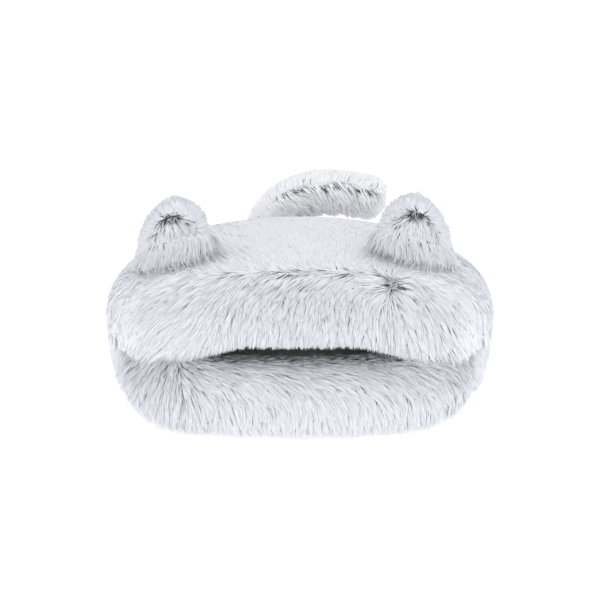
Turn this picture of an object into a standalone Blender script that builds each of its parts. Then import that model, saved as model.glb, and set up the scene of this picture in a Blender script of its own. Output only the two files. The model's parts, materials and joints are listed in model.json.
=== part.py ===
"""A plush pet bed shaped like a lying cat: a bolstered base, a padded hood with two ears, a stuffed tail and a
loose cushion inside. Metres, +Z up. The mouth faces -Y, +X is to the right when looking into it, and the origin
is on the floor under the middle of the hood. Rest pose: mouth relaxed, tail curled to the right, zip closed."""

import math

import bmesh
import bpy
from mathutils import Vector
from mathutils.bvhtree import BVHTree

# Driving dimensions: the overall plan of the hood and the wall that carries it.
BODY_HALF_WIDTH = 0.275
BODY_FRONT = 0.195
BODY_REAR = 0.245
HOOD_TOP = 0.210
SEAM_HEIGHT = 0.090

# How square each outline is: 2 is an ellipse, and larger is squarer.
PLAN_POWER_FRONT = 2.7
PLAN_POWER_REAR = 2.2
CROWN_POWER_FRONT = 3.0
CROWN_POWER_REAR = 2.3

# Thicknesses, and the gap kept between pieces that touch.
BOTTOM_FABRIC = 0.0025
FUR = 0.010
HOOD_FOAM = 0.016
LINING = 0.004
GAP = 0.0004
WALL_THICKNESS = 0.058
WALL_FLOOR_INSET = 0.028
FLOOR_FOAM = 0.025

# The stuffed roll across the front, which the animal steps over.
LIP_SIDE_STEP = 0.038
LIP_REACH = 0.115
LIP_CENTRE_Y = -0.075
LIP_POWER = 2.8
LIP_ROLL_HALF_DEPTH = 0.052
LIP_HEIGHT = 0.085
LIP_SECTION_POWER = 2.4
LIP_JOIN_Y = -0.085

# The middle of the hood's front, which lifts when the animal pushes in.
BROW_HALF_WIDTH = 0.165
BROW_HINGE_Y = -0.100
BROW_SIDE_GAP = 0.001
MOUTH_HEIGHT = 0.020

# Ears.
EAR_LEFT_X = 0.170
EAR_RIGHT_X = 0.153
EAR_Y = -0.070
EAR_TILT = math.radians(17)
EAR_HALF_WIDTH = 0.056
EAR_HEIGHT = 0.070
EAR_HALF_THICKNESS = 0.020
EAR_TIP_SHIFT = 0.018
EAR_SEAT_GAP = 0.0003

# Tail.
TAIL_RADIUS = 0.031
TAIL_TIP_RADIUS = 0.028
TAIL_DIRECTION = math.radians(100)
TAIL_ROOT_Z = 0.062
TAIL_RISE = 0.134
TAIL_REACH = 0.190
TAIL_SEAT_GAP = 0.0003

# Loose cushion and its zip.
CUSHION_SIDE_ROOM = 0.029
CUSHION_CORNER_ROOM = 0.001
CUSHION_FRONT_ROOM = 0.010
CUSHION_REAR_ROOM = 0.022
CUSHION_BACK_ROOM = 0.047
CUSHION_POWER_FRONT = 1.9
CUSHION_POWER_REAR = 2.3
CUSHION_THICKNESS = 0.037
CUSHION_COVER = 0.003
ZIP_HALF_LENGTH = 0.088
TOOTH_ROW = 0.0018
TOOTH_THICKNESS = 0.0020
TEETH_GAP = 0.0020
TAPE_WIDTH = 0.0095
TAPE_THICKNESS = 0.0008
SLIDER_LENGTH = 0.010
SLIDER_HEIGHT = 0.009
SLIDER_PLATE = 0.0010
SLIDER_GAP = 0.0006
PULL_LENGTH = 0.018
PULL_WIDTH = 0.005

# Care label in the back seam.
LABEL_WIDTH = 0.024
LABEL_DROP = 0.036
LABEL_STAND_OUT = 0.014
LABEL_THICKNESS = 0.0008
LABEL_DIRECTION = math.radians(60)

# Sizes and levels that follow from the ones above.
LIP_HALF_WIDTH = BODY_HALF_WIDTH - LIP_SIDE_STEP - LIP_ROLL_HALF_DEPTH
BASE_FLOOR = BOTTOM_FABRIC + GAP
WALL_TOP = SEAM_HEIGHT - GAP / 2
HOOD_BOTTOM = SEAM_HEIGHT + GAP / 2
CUSHION_BOTTOM = BASE_FLOOR + FLOOR_FOAM + GAP
CUSHION_BACK_Y = BODY_REAR - WALL_THICKNESS - CUSHION_BACK_ROOM
LIP_TOP = BASE_FLOOR + LIP_HEIGHT
BROW_BOTTOM = LIP_TOP + MOUTH_HEIGHT

ROUND_STEPS = 36
SECTION_STEPS = 12

FUR_GREY = (0.72, 0.73, 0.76)
LINING_WHITE = (0.80, 0.80, 0.82)
FOAM_WHITE = (0.86, 0.85, 0.80)
FIBRE_WHITE = (0.92, 0.92, 0.92)
FELT_GREY = (0.24, 0.25, 0.27)
ZIP_GREY = (0.55, 0.56, 0.58)
METAL = (0.62, 0.62, 0.60)
LABEL_WHITE = (0.93, 0.93, 0.90)


def clear_scene():
    for old in list(bpy.data.objects):
        bpy.data.objects.remove(old)


def new_collection(name):
    made = bpy.data.collections.new(name)
    bpy.context.scene.collection.children.link(made)
    return made


def material(name, colour, roughness, metallic=0.0):
    made = bpy.data.materials.new(name)
    made.use_nodes = True
    shader = made.node_tree.nodes["Principled BSDF"]
    shader.inputs["Base Color"].default_value = (*colour, 1.0)
    shader.inputs["Roughness"].default_value = roughness
    shader.inputs["Metallic"].default_value = metallic
    return made


def power(value, exponent):
    """A signed power, which keeps a superellipse going through all four quarters."""
    return math.copysign(abs(value) ** exponent, value)


def ease(value):
    """0 below 0, 1 above 1, and a smooth step between."""
    value = min(max(value, 0.0), 1.0)
    return value * value * (3 - 2 * value)


def plan_point(angle, inset, z, half_width, front, rear, front_power, rear_power, centre_y=0.0):
    """A point of a plan outline whose front and rear halves differ, moved inwards by inset."""
    c, s = math.cos(angle), math.sin(angle)
    reach = rear if s >= 0 else front
    shape = 2 / (rear_power if s >= 0 else front_power)
    return Vector(((half_width - inset) * power(c, shape), centre_y + (reach - inset) * power(s, shape), z))


def body_point(angle, inset, z):
    return plan_point(angle, inset, z, BODY_HALF_WIDTH, BODY_FRONT, BODY_REAR, PLAN_POWER_FRONT, PLAN_POWER_REAR)


def lip_point(angle, offset, z):
    return plan_point(angle, -offset, z, LIP_HALF_WIDTH, LIP_REACH, LIP_REACH, LIP_POWER, LIP_POWER, LIP_CENTRE_Y)


def cushion_point(angle, inset, z):
    rear = BODY_REAR - WALL_THICKNESS - CUSHION_REAR_ROOM
    return plan_point(angle, inset, z, cushion_half_width(), cushion_front(), rear, CUSHION_POWER_FRONT,
                      CUSHION_POWER_REAR)


def cushion_half_width():
    return BODY_HALF_WIDTH - WALL_THICKNESS - CUSHION_SIDE_ROOM


def cushion_front():
    """How far the cushion reaches forwards: to the inner corner where the lip meets the wall, but not to the lip."""
    inside_width, inside_reach = LIP_HALF_WIDTH - LIP_ROLL_HALF_DEPTH, LIP_REACH - LIP_ROLL_HALF_DEPTH
    forward = max(LIP_CENTRE_Y - LIP_JOIN_Y, 0.0) / inside_reach
    corner = inside_width * (1 - forward**LIP_POWER) ** (1 / LIP_POWER) - CUSHION_CORNER_ROOM
    share = (1 - (corner / cushion_half_width()) ** CUSHION_POWER_FRONT) ** (1 / CUSHION_POWER_FRONT)
    return min(-LIP_JOIN_Y / share, inside_reach - LIP_CENTRE_Y - CUSHION_FRONT_ROOM)


def crown_height(angle, share, inset):
    """The dome's height over the point at share (0 the middle, 1 the outline) of the way out at this angle."""
    crown = CROWN_POWER_REAR + (CROWN_POWER_FRONT - CROWN_POWER_REAR) * ease(0.5 - math.sin(angle))
    top = HOOD_TOP - inset
    return SEAM_HEIGHT + (top - SEAM_HEIGHT) * (1 - share**crown) ** (1 / crown)


def turn_angles(count):
    return [2 * math.pi * i / count for i in range(count)]


def arc_angles(start, stop):
    """The same angles as the whole outline's, from start to stop in degrees, so pieces that touch share their facets."""
    step = 360 / ROUND_STEPS
    first, last = math.ceil(start / step), math.floor(stop / step)
    return [math.radians(i * step) for i in range(first, last + 1)]


def loft(name, rings, paint, collection, closed_path=False):
    """One closed solid through rings of points of equal number, with flat ends unless the path closes on itself. The
    sides are triangles, which stay flat, so every shell and what fills it bend along the same lines."""
    mesh = bmesh.new()
    verts = [[mesh.verts.new(point) for point in ring] for ring in rings]
    count = len(rings[0])
    pairs = list(zip(verts, verts[1:] + verts[:1])) if closed_path else list(zip(verts, verts[1:]))
    for lower, upper in pairs:
        for i in range(count):
            j = (i + 1) % count
            mesh.faces.new((lower[i], lower[j], upper[j]))
            mesh.faces.new((lower[i], upper[j], upper[i]))
    if not closed_path:
        mesh.faces.new(verts[0])
        mesh.faces.new(verts[-1])
    bmesh.ops.recalc_face_normals(mesh, faces=mesh.faces)
    return object_from(mesh, name, paint, collection)


def object_from(mesh, name, paint, collection, smooth=True):
    data = bpy.data.meshes.new(name)
    mesh.to_mesh(data)
    mesh.free()
    if paint:
        data.materials.append(paint)
    if smooth:
        data.shade_smooth()
        data.set_sharp_from_angle(angle=math.radians(40))
    made = bpy.data.objects.new(name, data)
    collection.objects.link(made)
    return made


def box(name, low, high, paint, collection, bevel=0.0):
    """A box between two corners, made from the cube primitive, with optional rounded edges."""
    mesh = bmesh.new()
    bmesh.ops.create_cube(mesh, size=1.0)
    low, high = Vector(low), Vector(high)
    bmesh.ops.scale(mesh, vec=high - low, verts=mesh.verts)
    made = object_from(mesh, name, paint, collection, smooth=False)
    made.location = (low + high) / 2
    if bevel:
        rounding = made.modifiers.new("rounded_edges", "BEVEL")
        rounding.width = bevel
        rounding.segments = 2
    return made


def cutter(made):
    """Marks an object as a tool that shapes others and isn't part of the bed."""
    made.hide_render = True
    made.display_type = "WIRE"
    return made


def boolean(target, tool, operation):
    step = target.modifiers.new(operation.lower() + "_" + tool.name, "BOOLEAN")
    step.operation = operation
    step.object = tool
    step.solver = "EXACT"


def cut(target, *tools):
    for tool in tools:
        boolean(target, tool, "DIFFERENCE")


def keep(target, *tools):
    for tool in tools:
        boolean(target, tool, "INTERSECT")


def dome_solid(name, inset, paint, collection):
    """The whole hood as a solid dome, standing a little below the seam so that cuts there are clean."""
    below = SEAM_HEIGHT - HOOD_FOAM
    rings = [[body_point(a, inset, below) for a in turn_angles(ROUND_STEPS)]]
    for level in (0, 12, 24, 35, 46, 57, 68, 78, 87):
        rise = math.radians(level)
        ring = []
        for angle in turn_angles(ROUND_STEPS):
            crown = CROWN_POWER_REAR + (CROWN_POWER_FRONT - CROWN_POWER_REAR) * ease(0.5 - math.sin(angle))
            share = math.cos(rise) ** (2 / crown)
            edge = body_point(angle, inset, 0)
            ring.append(Vector((edge.x * share, edge.y * share, crown_height(angle, share, inset))))
        rings.append(ring)
    return loft(name, rings, paint, collection)


def hood_layer(part_name, brow_name, outer_inset, thickness, paint):
    """One layer of the hood, as its fixed part and the brow that lifts out of its front."""
    for name in (part_name, brow_name):
        layer = dome_solid(name, outer_inset, paint, bed)
        hollow = cutter(dome_solid(name + "_hollow", outer_inset + thickness, None, tools))
        cut(layer, hollow)
        if name == part_name:
            cut(layer, below_seam, brow_notch)
        else:
            keep(layer, brow_block)


def wall_section(shrink):
    """The wall's cross-section as (inset, z): a bulging outer side, a flat top and bottom and a straight inner side."""
    low, high = BASE_FLOOR + shrink, WALL_TOP - shrink
    points = []
    for i in range(7):
        a = math.radians(90 * i / 6)
        bulge = WALL_FLOOR_INSET * (1 - math.cos(a) ** (2 / PLAN_POWER_REAR))
        points.append((shrink + bulge, high - (high - low) * math.sin(a) ** (2 / PLAN_POWER_REAR)))
    points.append((WALL_THICKNESS - shrink, low))
    points.append((WALL_THICKNESS - shrink, high))
    return points


def wall_solid(name, shrink, paint, collection):
    """The roll round the sides and back, longer than needed at the front, where the lip's end plane trims it."""
    rings = []
    for angle in arc_angles(-60, 240):
        rings.append([body_point(angle, inset, z) for inset, z in wall_section(shrink)])
    return loft(name, rings, paint, collection)


def lip_solid(name, shrink, paint, collection):
    """The front roll: a squared-off round section carried round the front, again trimmed at its end plane."""
    middle = BASE_FLOOR + LIP_HEIGHT / 2
    rings = []
    for angle in arc_angles(150, 390):
        ring = []
        for a in turn_angles(SECTION_STEPS):
            offset = (LIP_ROLL_HALF_DEPTH - shrink) * power(math.cos(a), 2 / LIP_SECTION_POWER)
            rise = (LIP_HEIGHT / 2 - shrink) * power(math.sin(a), 2 / LIP_SECTION_POWER)
            ring.append(lip_point(angle, offset, middle + rise))
        rings.append(ring)
    return loft(name, rings, paint, collection)


def slab(name, point, inset, low, high, paint, collection, rounding=0.0):
    """A flat pad with the outline of point, its upper and lower edges drawn in by rounding."""
    levels = [(low, rounding), (low + rounding, 0.0), (high - rounding, 0.0), (high, rounding)]
    levels = levels if rounding else [(low, 0.0), (high, 0.0)]
    rings = [[point(a, inset + drawn, z) for a in turn_angles(ROUND_STEPS)] for z, drawn in levels]
    return loft(name, rings, paint, collection)


def build_base():
    """The floor of the bed, the wall round it and the lip across the front."""
    bottom = slab("base_bottom_fabric", body_point, WALL_FLOOR_INSET, 0, BOTTOM_FABRIC, felt, bed)
    front = cutter(slab("bottom_under_lip", lambda a, i, z: lip_point(a, -i, z), -LIP_ROLL_HALF_DEPTH / 3,
                        0, BOTTOM_FABRIC, None, tools))
    boolean(bottom, front, "UNION")

    lip_room = cutter(lip_solid("lip_room", -GAP, None, tools))
    foam = slab("floor_foam", body_point, WALL_THICKNESS + GAP, BASE_FLOOR, BASE_FLOOR + FLOOR_FOAM, sponge, bed)
    cut(foam, lip_room)

    reach = BODY_HALF_WIDTH * 2
    front_of_join = cutter(box("front_of_join", (-reach, -reach, -reach), (reach, LIP_JOIN_Y + GAP / 2, reach),
                               None, tools))
    behind_join = cutter(box("behind_join", (-reach, LIP_JOIN_Y - GAP / 2, -reach), (reach, reach, reach), None, tools))

    # Each cover is sewn shut round its end, but for a slit where the two rolls meet, through which it is filled.
    wall_inside = BODY_HALF_WIDTH - WALL_THICKNESS + FUR
    lip_inside = LIP_HALF_WIDTH + LIP_ROLL_HALF_DEPTH - FUR
    low, high = BASE_FLOOR + LIP_HEIGHT * 0.35, LIP_TOP - LIP_HEIGHT * 0.35
    wall_slits, lip_slits = [], []
    for side, word in ((-1, "left"), (1, "right")):
        for slits, near, far_side in ((wall_slits, wall_inside, wall_inside + FUR * 0.6),
                                      (lip_slits, lip_inside - FUR * 0.8, lip_inside - FUR * 0.1)):
            xs = sorted((side * near, side * far_side))
            name = f"end_slit_{word}_{'wall' if slits is wall_slits else 'lip'}"
            slits.append(cutter(box(name, (xs[0], LIP_JOIN_Y - 1.5 * FUR, low), (xs[1], LIP_JOIN_Y + 1.5 * FUR, high),
                                    None, tools)))
    front_of_wall = cutter(box("front_of_wall_hollow", (-reach, -reach, -reach), (reach, LIP_JOIN_Y + FUR, reach),
                               None, tools))
    behind_lip = cutter(box("behind_lip_hollow", (-reach, LIP_JOIN_Y - FUR, -reach), (reach, reach, reach), None, tools))

    wall_cover = wall_solid("base_wall_cover", 0, fur, bed)
    wall_hollow = cutter(wall_solid("wall_hollow", FUR, None, tools))
    cut(wall_hollow, front_of_wall)
    cut(wall_cover, wall_hollow, front_of_join, *wall_slits)
    wall_fill = wall_solid("base_wall_fill", FUR + GAP, fibre, bed)
    cut(wall_fill, cutter(box("front_of_wall_fill", (-reach, -reach, -reach), (reach, LIP_JOIN_Y + FUR + GAP, reach),
                              None, tools)))

    lip_cover = lip_solid("front_lip_cover", 0, fur, bed)
    lip_hollow = cutter(lip_solid("lip_hollow", FUR, None, tools))
    cut(lip_hollow, behind_lip)
    cut(lip_cover, lip_hollow, behind_join, *lip_slits)
    lip_fill = lip_solid("front_lip_fill", FUR + GAP, fibre, bed)
    cut(lip_fill, cutter(box("behind_lip_fill", (-reach, LIP_JOIN_Y - FUR - GAP, -reach), (reach, reach, reach),
                             None, tools)))


def ear_half_width(share, shrink):
    """Half the ear's width at a share of its height: nearly straight sides that round over at the tip."""
    return (EAR_HALF_WIDTH - shrink) * (1 - share**2.1) ** (1 / 1.6)


def place_ear(made, side, root):
    made.location = root
    made.rotation_euler = (0, side * EAR_TILT, 0)
    return made


def ear_solid(name, side, root, shrink, paint, collection):
    """A flat rounded triangle whose bottom edge is a half round on the line it flops about. side is -1 or 1."""
    height = EAR_HEIGHT - shrink
    thick = EAR_HALF_THICKNESS - shrink
    levels = []
    for i in range(4):
        a = math.radians(-80 + 80 * i / 4)
        levels.append((thick * math.sin(a), 1.0, math.cos(a)))
    for share in (0.0, 0.25, 0.45, 0.62, 0.77, 0.88, 0.95, 0.99):
        levels.append((height * share, ear_half_width(share, 0) / EAR_HALF_WIDTH, 1 - 0.45 * share**2))
    rings = []
    for h, width_share, thick_share in levels:
        share = max(h, 0) / height
        half = (EAR_HALF_WIDTH - shrink) * width_share
        deep = thick * thick_share * min(1.0, 0.35 + 1.3 * width_share)
        lean = EAR_TIP_SHIFT * share**1.2
        ring = []
        for a in turn_angles(SECTION_STEPS):
            u = lean + half * power(math.cos(a), 2 / 2.4)
            ring.append(Vector((-side * u, deep * power(math.sin(a), 2 / 2.2), h)))
        rings.append(ring)
    return place_ear(loft(name, rings, paint, collection), side, root)


def ear_opening(name, side, root):
    """The slit in the bottom of the ear's cover, through which it is filled before it is sewn on."""
    long, wide = EAR_HALF_WIDTH * 0.55, EAR_HALF_THICKNESS * 0.15
    rings = []
    for h in (-2 * EAR_HALF_THICKNESS, -EAR_HALF_THICKNESS * 0.4):
        rings.append([Vector((u, v, h)) for u, v in ((-long, -wide), (long, -wide), (long, wide), (-long, wide))])
    return place_ear(loft(name, rings, None, tools), side, root)


def seat_distance(piece, ground, direction):
    """How far piece can move in direction before it meets ground, both solids taken before they are cut."""
    def tree_and_points(made):
        turn = made.matrix_basis
        points = [turn @ vertex.co for vertex in made.data.vertices]
        return BVHTree.FromPolygons(points, [list(face.vertices) for face in made.data.polygons]), points

    piece_tree, piece_points = tree_and_points(piece)
    ground_tree, ground_points = tree_and_points(ground)
    hits = [ground_tree.ray_cast(point, direction)[3] for point in piece_points]
    hits += [piece_tree.ray_cast(point, -direction)[3] for point in ground_points]
    return min(hit for hit in hits if hit is not None)


def build_ears(hood):
    """Each ear stands over its place on the hood, square to the slope, and is lowered until it meets it."""
    for side, away, word in ((-1, EAR_LEFT_X, "left"), (1, EAR_RIGHT_X, "right")):
        down = Vector((-side * math.sin(EAR_TILT), 0, -math.cos(EAR_TILT)))
        above = Vector((side * away, EAR_Y, HOOD_TOP)) - down * EAR_HALF_THICKNESS * 2
        trial = cutter(ear_solid(f"ear_{word}_trial", side, above, 0, None, tools))
        root = above + down * (seat_distance(trial, hood, down) - EAR_SEAT_GAP)
        bpy.data.objects.remove(trial)
        cover = ear_solid(f"ear_{word}_cover", side, root, 0, fur, bed)
        room = cutter(ear_solid(f"ear_{word}_hollow", side, root, FUR * 0.6, None, tools))
        slit = cutter(ear_opening(f"ear_{word}_opening", side, root))
        cut(cover, room, slit)
        ear_solid(f"ear_{word}_fill", side, root, FUR * 0.6 + GAP, fibre, bed)
        print(word, "ear flops about", [round(v, 5) for v in root])


def tail_line(share):
    """The tail's centre line: straight up from its root, then over to the right and a little down at the end."""
    seat = body_point(TAIL_DIRECTION, 0, TAIL_ROOT_Z)
    root = seat + Vector((0, TAIL_RADIUS + TAIL_SEAT_GAP, 0))
    bend = ease((share - 0.05) / 0.52)
    up = TAIL_RISE * math.sin(min(share / 0.55, 1.0) * math.pi / 2)
    across = TAIL_REACH * max(0.0, share - 0.10) / 0.90 * bend
    drop = 0.014 * max(0.0, share - 0.6) ** 1.5 / 0.4**1.5
    return root + Vector((across, 0.0, up - drop))


def tail_solid(name, shrink, paint, collection, steps=16):
    """A round tube along the tail's line with rounded ends, the root end centred on the line the tail sways about."""
    rings = []
    margin = shrink / (TAIL_RISE + TAIL_REACH)
    for i in range(steps + 1):
        share = margin + (1 - 2 * margin) * i / steps
        here = tail_line(share)
        ahead = (tail_line(min(share + 0.02, 1)) - tail_line(max(share - 0.02, 0))).normalized()
        side = Vector((0, 1, 0))
        other = ahead.cross(side).normalized()
        radius = TAIL_RADIUS + (TAIL_TIP_RADIUS - TAIL_RADIUS) * share - shrink
        ends = min(1.0, (share - margin) / 0.05, (1 - margin - share) / 0.12)
        radius *= math.sqrt(max(1 - (1 - ends) ** 2, 0.05))
        ring = []
        for a in turn_angles(SECTION_STEPS):
            ring.append(here + radius * (math.cos(a) * side + math.sin(a) * other))
        rings.append(ring)
    return loft(name, rings, paint, collection)


def build_tail():
    cover = tail_solid("tail_cover", 0, fur, bed)
    hollow = cutter(tail_solid("tail_hollow", FUR * 0.7, None, tools))
    mouth_low = tail_line(0.02) - Vector((TAIL_RADIUS / 3, TAIL_RADIUS / 3, TAIL_RADIUS))
    mouth_high = tail_line(0.10) + Vector((TAIL_RADIUS / 3, TAIL_RADIUS / 3, 0))
    opening = cutter(box("tail_root_opening", mouth_low, mouth_high, None, tools))
    cut(cover, hollow, opening)
    tail_solid("tail_fill", FUR * 0.7 + GAP, fibre, bed)
    print("tail sways about", [round(v, 4) for v in tail_line(0)])


def build_cushion():
    """The loose cushion: a zipped cover round a fibre pad, with a flat back edge that carries the zip."""
    low, high = CUSHION_BOTTOM, CUSHION_BOTTOM + CUSHION_THICKNESS
    reach = BODY_REAR * 2
    rounding = CUSHION_THICKNESS / 5

    def behind(name, y):
        return cutter(box(name, (-reach, y, -reach), (reach, reach, reach), None, tools))

    cover = slab("cushion_cover", cushion_point, 0, low, high, fur, bed, rounding)
    room = cutter(slab("cushion_room", cushion_point, CUSHION_COVER, low + CUSHION_COVER, high - CUSHION_COVER, None,
                       tools, rounding))
    cut(room, behind("behind_room", CUSHION_BACK_Y - CUSHION_COVER))
    slot_half = SLIDER_HEIGHT / 2 + 0.001
    middle = (low + high) / 2
    slot = cutter(box("zip_slot", (-ZIP_HALF_LENGTH - 0.001, CUSHION_BACK_Y - 3 * CUSHION_COVER, middle - slot_half),
                      (ZIP_HALF_LENGTH + 0.001, CUSHION_BACK_Y + CUSHION_COVER, middle + slot_half), None, tools))
    cut(cover, behind("behind_cushion", CUSHION_BACK_Y), room, slot)

    inset = CUSHION_COVER + GAP
    fill = slab("cushion_fill", cushion_point, inset, low + inset, high - inset, fibre, bed, rounding)
    cut(fill, behind("behind_fill", CUSHION_BACK_Y - inset))
    build_zip(middle)


def build_zip(middle):
    """Two rows of teeth on two tapes, a stop at each end, and a slider with its pull, at the closed end."""
    tooth_back = CUSHION_BACK_Y - TOOTH_THICKNESS / 2
    tooth_front = tooth_back + TOOTH_THICKNESS
    tape_back = CUSHION_BACK_Y + 0.0003
    stop_length = 0.002
    teeth_end = ZIP_HALF_LENGTH - stop_length - 0.0004
    for sign, word in ((1, "upper"), (-1, "lower")):
        inner = middle + sign * TEETH_GAP / 2
        outer = inner + sign * TOOTH_ROW
        box(f"zip_teeth_{word}", (-teeth_end, tooth_back, min(inner, outer)), (teeth_end, tooth_front, max(inner, outer)),
            nylon, bed, 0.0003)
        start = outer + sign * 0.0003
        stop = start + sign * TAPE_WIDTH
        box(f"zip_tape_{word}", (-ZIP_HALF_LENGTH - 0.006, tape_back, min(start, stop)),
            (ZIP_HALF_LENGTH + 0.006, tape_back + TAPE_THICKNESS, max(start, stop)), nylon, bed, 0.0002)
    half = TEETH_GAP / 2 + TOOTH_ROW
    for sign, word in ((1, "closed"), (-1, "open")):
        ends = sorted((sign * (ZIP_HALF_LENGTH - stop_length), sign * ZIP_HALF_LENGTH))
        box(f"zip_stop_{word}", (ends[0], tooth_back, middle - half), (ends[1], tooth_front, middle + half),
            metal, bed, 0.0003)

    x = ZIP_HALF_LENGTH - stop_length - 0.001 - SLIDER_LENGTH / 2
    half_length, half_height = SLIDER_LENGTH / 2, SLIDER_HEIGHT / 2
    back = tooth_back - SLIDER_GAP - SLIDER_PLATE
    front = tape_back + TAPE_THICKNESS + SLIDER_GAP + SLIDER_PLATE
    lug_reach = 0.0028
    slider = box("zip_slider", (x - half_length, front - SLIDER_PLATE, middle - half_height),
                 (x + half_length, front, middle + half_height), metal, bed)
    wedge_half = TEETH_GAP / 2 - 0.0004
    extras = (
        ("slider_back_plate", (x - half_length, back, middle - half_height),
         (x + half_length, back + SLIDER_PLATE, middle + half_height)),
        ("slider_wedge", (x - 0.0015, back + SLIDER_PLATE / 2, middle - wedge_half),
         (x + 0.0015, front - SLIDER_PLATE / 2, middle + wedge_half)),
        ("slider_lug", (x - 0.0009, front - SLIDER_PLATE / 2, middle - 0.0010), (x + 0.0009, front + lug_reach,
                                                                             middle + 0.0040)),
    )
    for name, low, high in extras:
        boolean(slider, cutter(box(name, low, high, None, tools)), "UNION")
    eye_low = (x - 0.0030, front + 0.0008, middle + 0.0005)
    eye_high = (x + 0.0030, front + 0.0020, middle + 0.0024)
    cut(slider, cutter(box("slider_eye", eye_low, eye_high, None, tools)))

    pin_y, pin_z = front + 0.0014, middle + 0.00145
    pull_top = pin_z + 0.0004
    pull = box("zip_pull", (x - PULL_WIDTH / 2, pin_y - 0.0004, pull_top - PULL_LENGTH),
               (x + PULL_WIDTH / 2, pin_y + 0.0004, pull_top), metal, bed)
    window = cutter(box("pull_window", (x - 0.0014, pin_y - 0.01, pull_top - 0.0075), (x + 0.0014, pin_y + 0.01,
                                                                                       pull_top - 0.0008), None, tools))
    cut(pull, window)
    print("zip pull turns about y, z =", round(pin_y, 5), round(pin_z, 5), "at x =", round(x, 5))


def build_label():
    """A blank care label: a thin strip that leaves the back seam, bends over the fur and hangs down."""
    base = body_point(LABEL_DIRECTION, 0, SEAM_HEIGHT)
    along = (body_point(LABEL_DIRECTION + 0.01, 0, 0) - body_point(LABEL_DIRECTION - 0.01, 0, 0)).normalized()
    out = along.cross(Vector((0, 0, 1)))
    profile = []
    for i in range(9):
        a = math.radians(90 * i / 8)
        profile.append((GAP + LABEL_STAND_OUT * math.sin(a), -LABEL_STAND_OUT * 0.5 * (1 - math.cos(a))))
    profile.append((profile[-1][0] + 0.001, profile[-1][1] - LABEL_DROP * 0.5))
    profile.append((profile[-1][0] + 0.0005, profile[-1][1] - LABEL_DROP * 0.5))
    mesh = bmesh.new()
    rows = []
    for r, z in profile:
        middle = base + out * r + Vector((0, 0, z))
        rows.append([mesh.verts.new(middle + along * w) for w in (-LABEL_WIDTH / 2, LABEL_WIDTH / 2)])
    for lower, upper in zip(rows, rows[1:]):
        mesh.faces.new((lower[0], lower[1], upper[1], upper[0]))
    made = object_from(mesh, "care_label", woven, bed, smooth=False)
    thicken = made.modifiers.new("woven_thickness", "SOLIDIFY")
    thicken.thickness = LABEL_THICKNESS
    thicken.offset = 0


clear_scene()
bed = new_collection("pet_cushion_bed")
tools = new_collection("cutters")

fur = material("long pile fur", FUR_GREY, 0.9)
plush = material("short plush lining", LINING_WHITE, 0.9)
sponge = material("foam sheet", FOAM_WHITE, 0.8)
fibre = material("fibre filling", FIBRE_WHITE, 0.95)
felt = material("non-slip fabric", FELT_GREY, 0.85)
nylon = material("zip nylon", ZIP_GREY, 0.5)
metal = material("zip metal", METAL, 0.35, 1.0)
woven = material("woven label", LABEL_WHITE, 0.7)

far = BODY_HALF_WIDTH * 2
below_seam = cutter(box("below_seam", (-far, -far, -far), (far, far, HOOD_BOTTOM), None, tools))
notch_half = BROW_HALF_WIDTH + BROW_SIDE_GAP / 2
block_half = BROW_HALF_WIDTH - BROW_SIDE_GAP / 2
brow_notch = cutter(box("brow_notch", (-notch_half, -far, -far), (notch_half, BROW_HINGE_Y + GAP / 2, far), None, tools))
brow_block = cutter(box("brow_block", (-block_half, -far, BROW_BOTTOM), (block_half, BROW_HINGE_Y - GAP / 2, far),
                        None, tools))

build_base()
foam_inset = FUR + GAP
lining_inset = foam_inset + HOOD_FOAM + GAP
hood_layer("hood_fur_cover", "brow_fur_cover", 0, FUR, fur)
hood_layer("hood_foam", "brow_foam", foam_inset, HOOD_FOAM, sponge)
hood_layer("hood_lining", "brow_lining", lining_inset, LINING, plush)
build_ears(bpy.data.objects["hood_fur_cover"])
build_tail()
build_cushion()
build_label()
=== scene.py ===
# %% [markdown]
# # A cat-shaped cave bed in long white fur
#
# The bed is a padded hood over a round base, with a stuffed roll across the front, two ears and a tail. All of it is
# covered in faux fur whose strands are charcoal at the root and white at the tip. The CAD model gives every size and
# every moving body, and this lesson gives it skins, fur, lining, cushion and light.

# %% Load the frame
import json
import math

import bmesh
import bpy
import numpy as np
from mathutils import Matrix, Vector


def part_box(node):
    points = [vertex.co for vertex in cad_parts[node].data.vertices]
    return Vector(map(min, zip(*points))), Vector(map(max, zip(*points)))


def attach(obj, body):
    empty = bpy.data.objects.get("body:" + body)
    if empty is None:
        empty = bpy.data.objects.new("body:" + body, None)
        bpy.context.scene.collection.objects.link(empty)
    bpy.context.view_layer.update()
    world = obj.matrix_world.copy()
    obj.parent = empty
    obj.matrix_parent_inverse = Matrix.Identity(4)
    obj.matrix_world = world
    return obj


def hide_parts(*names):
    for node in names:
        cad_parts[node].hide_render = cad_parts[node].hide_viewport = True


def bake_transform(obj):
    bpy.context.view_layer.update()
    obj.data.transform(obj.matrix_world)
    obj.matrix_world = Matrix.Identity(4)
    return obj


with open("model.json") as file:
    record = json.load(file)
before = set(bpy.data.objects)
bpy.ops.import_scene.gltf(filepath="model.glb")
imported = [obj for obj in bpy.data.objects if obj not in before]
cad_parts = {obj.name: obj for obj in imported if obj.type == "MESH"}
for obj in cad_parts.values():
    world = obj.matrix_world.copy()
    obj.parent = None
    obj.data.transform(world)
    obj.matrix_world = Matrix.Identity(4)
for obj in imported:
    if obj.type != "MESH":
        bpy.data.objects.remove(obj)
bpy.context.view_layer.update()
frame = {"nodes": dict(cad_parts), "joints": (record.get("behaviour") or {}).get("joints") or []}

# %% [markdown]
# ## Sizes
#
# Lengths are in metres. The plan of the bed is a superellipse: an ellipse whose power decides how square it is. Its
# half width, front, rear and top are read from the CAD hood, so the skins grow with it.

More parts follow.
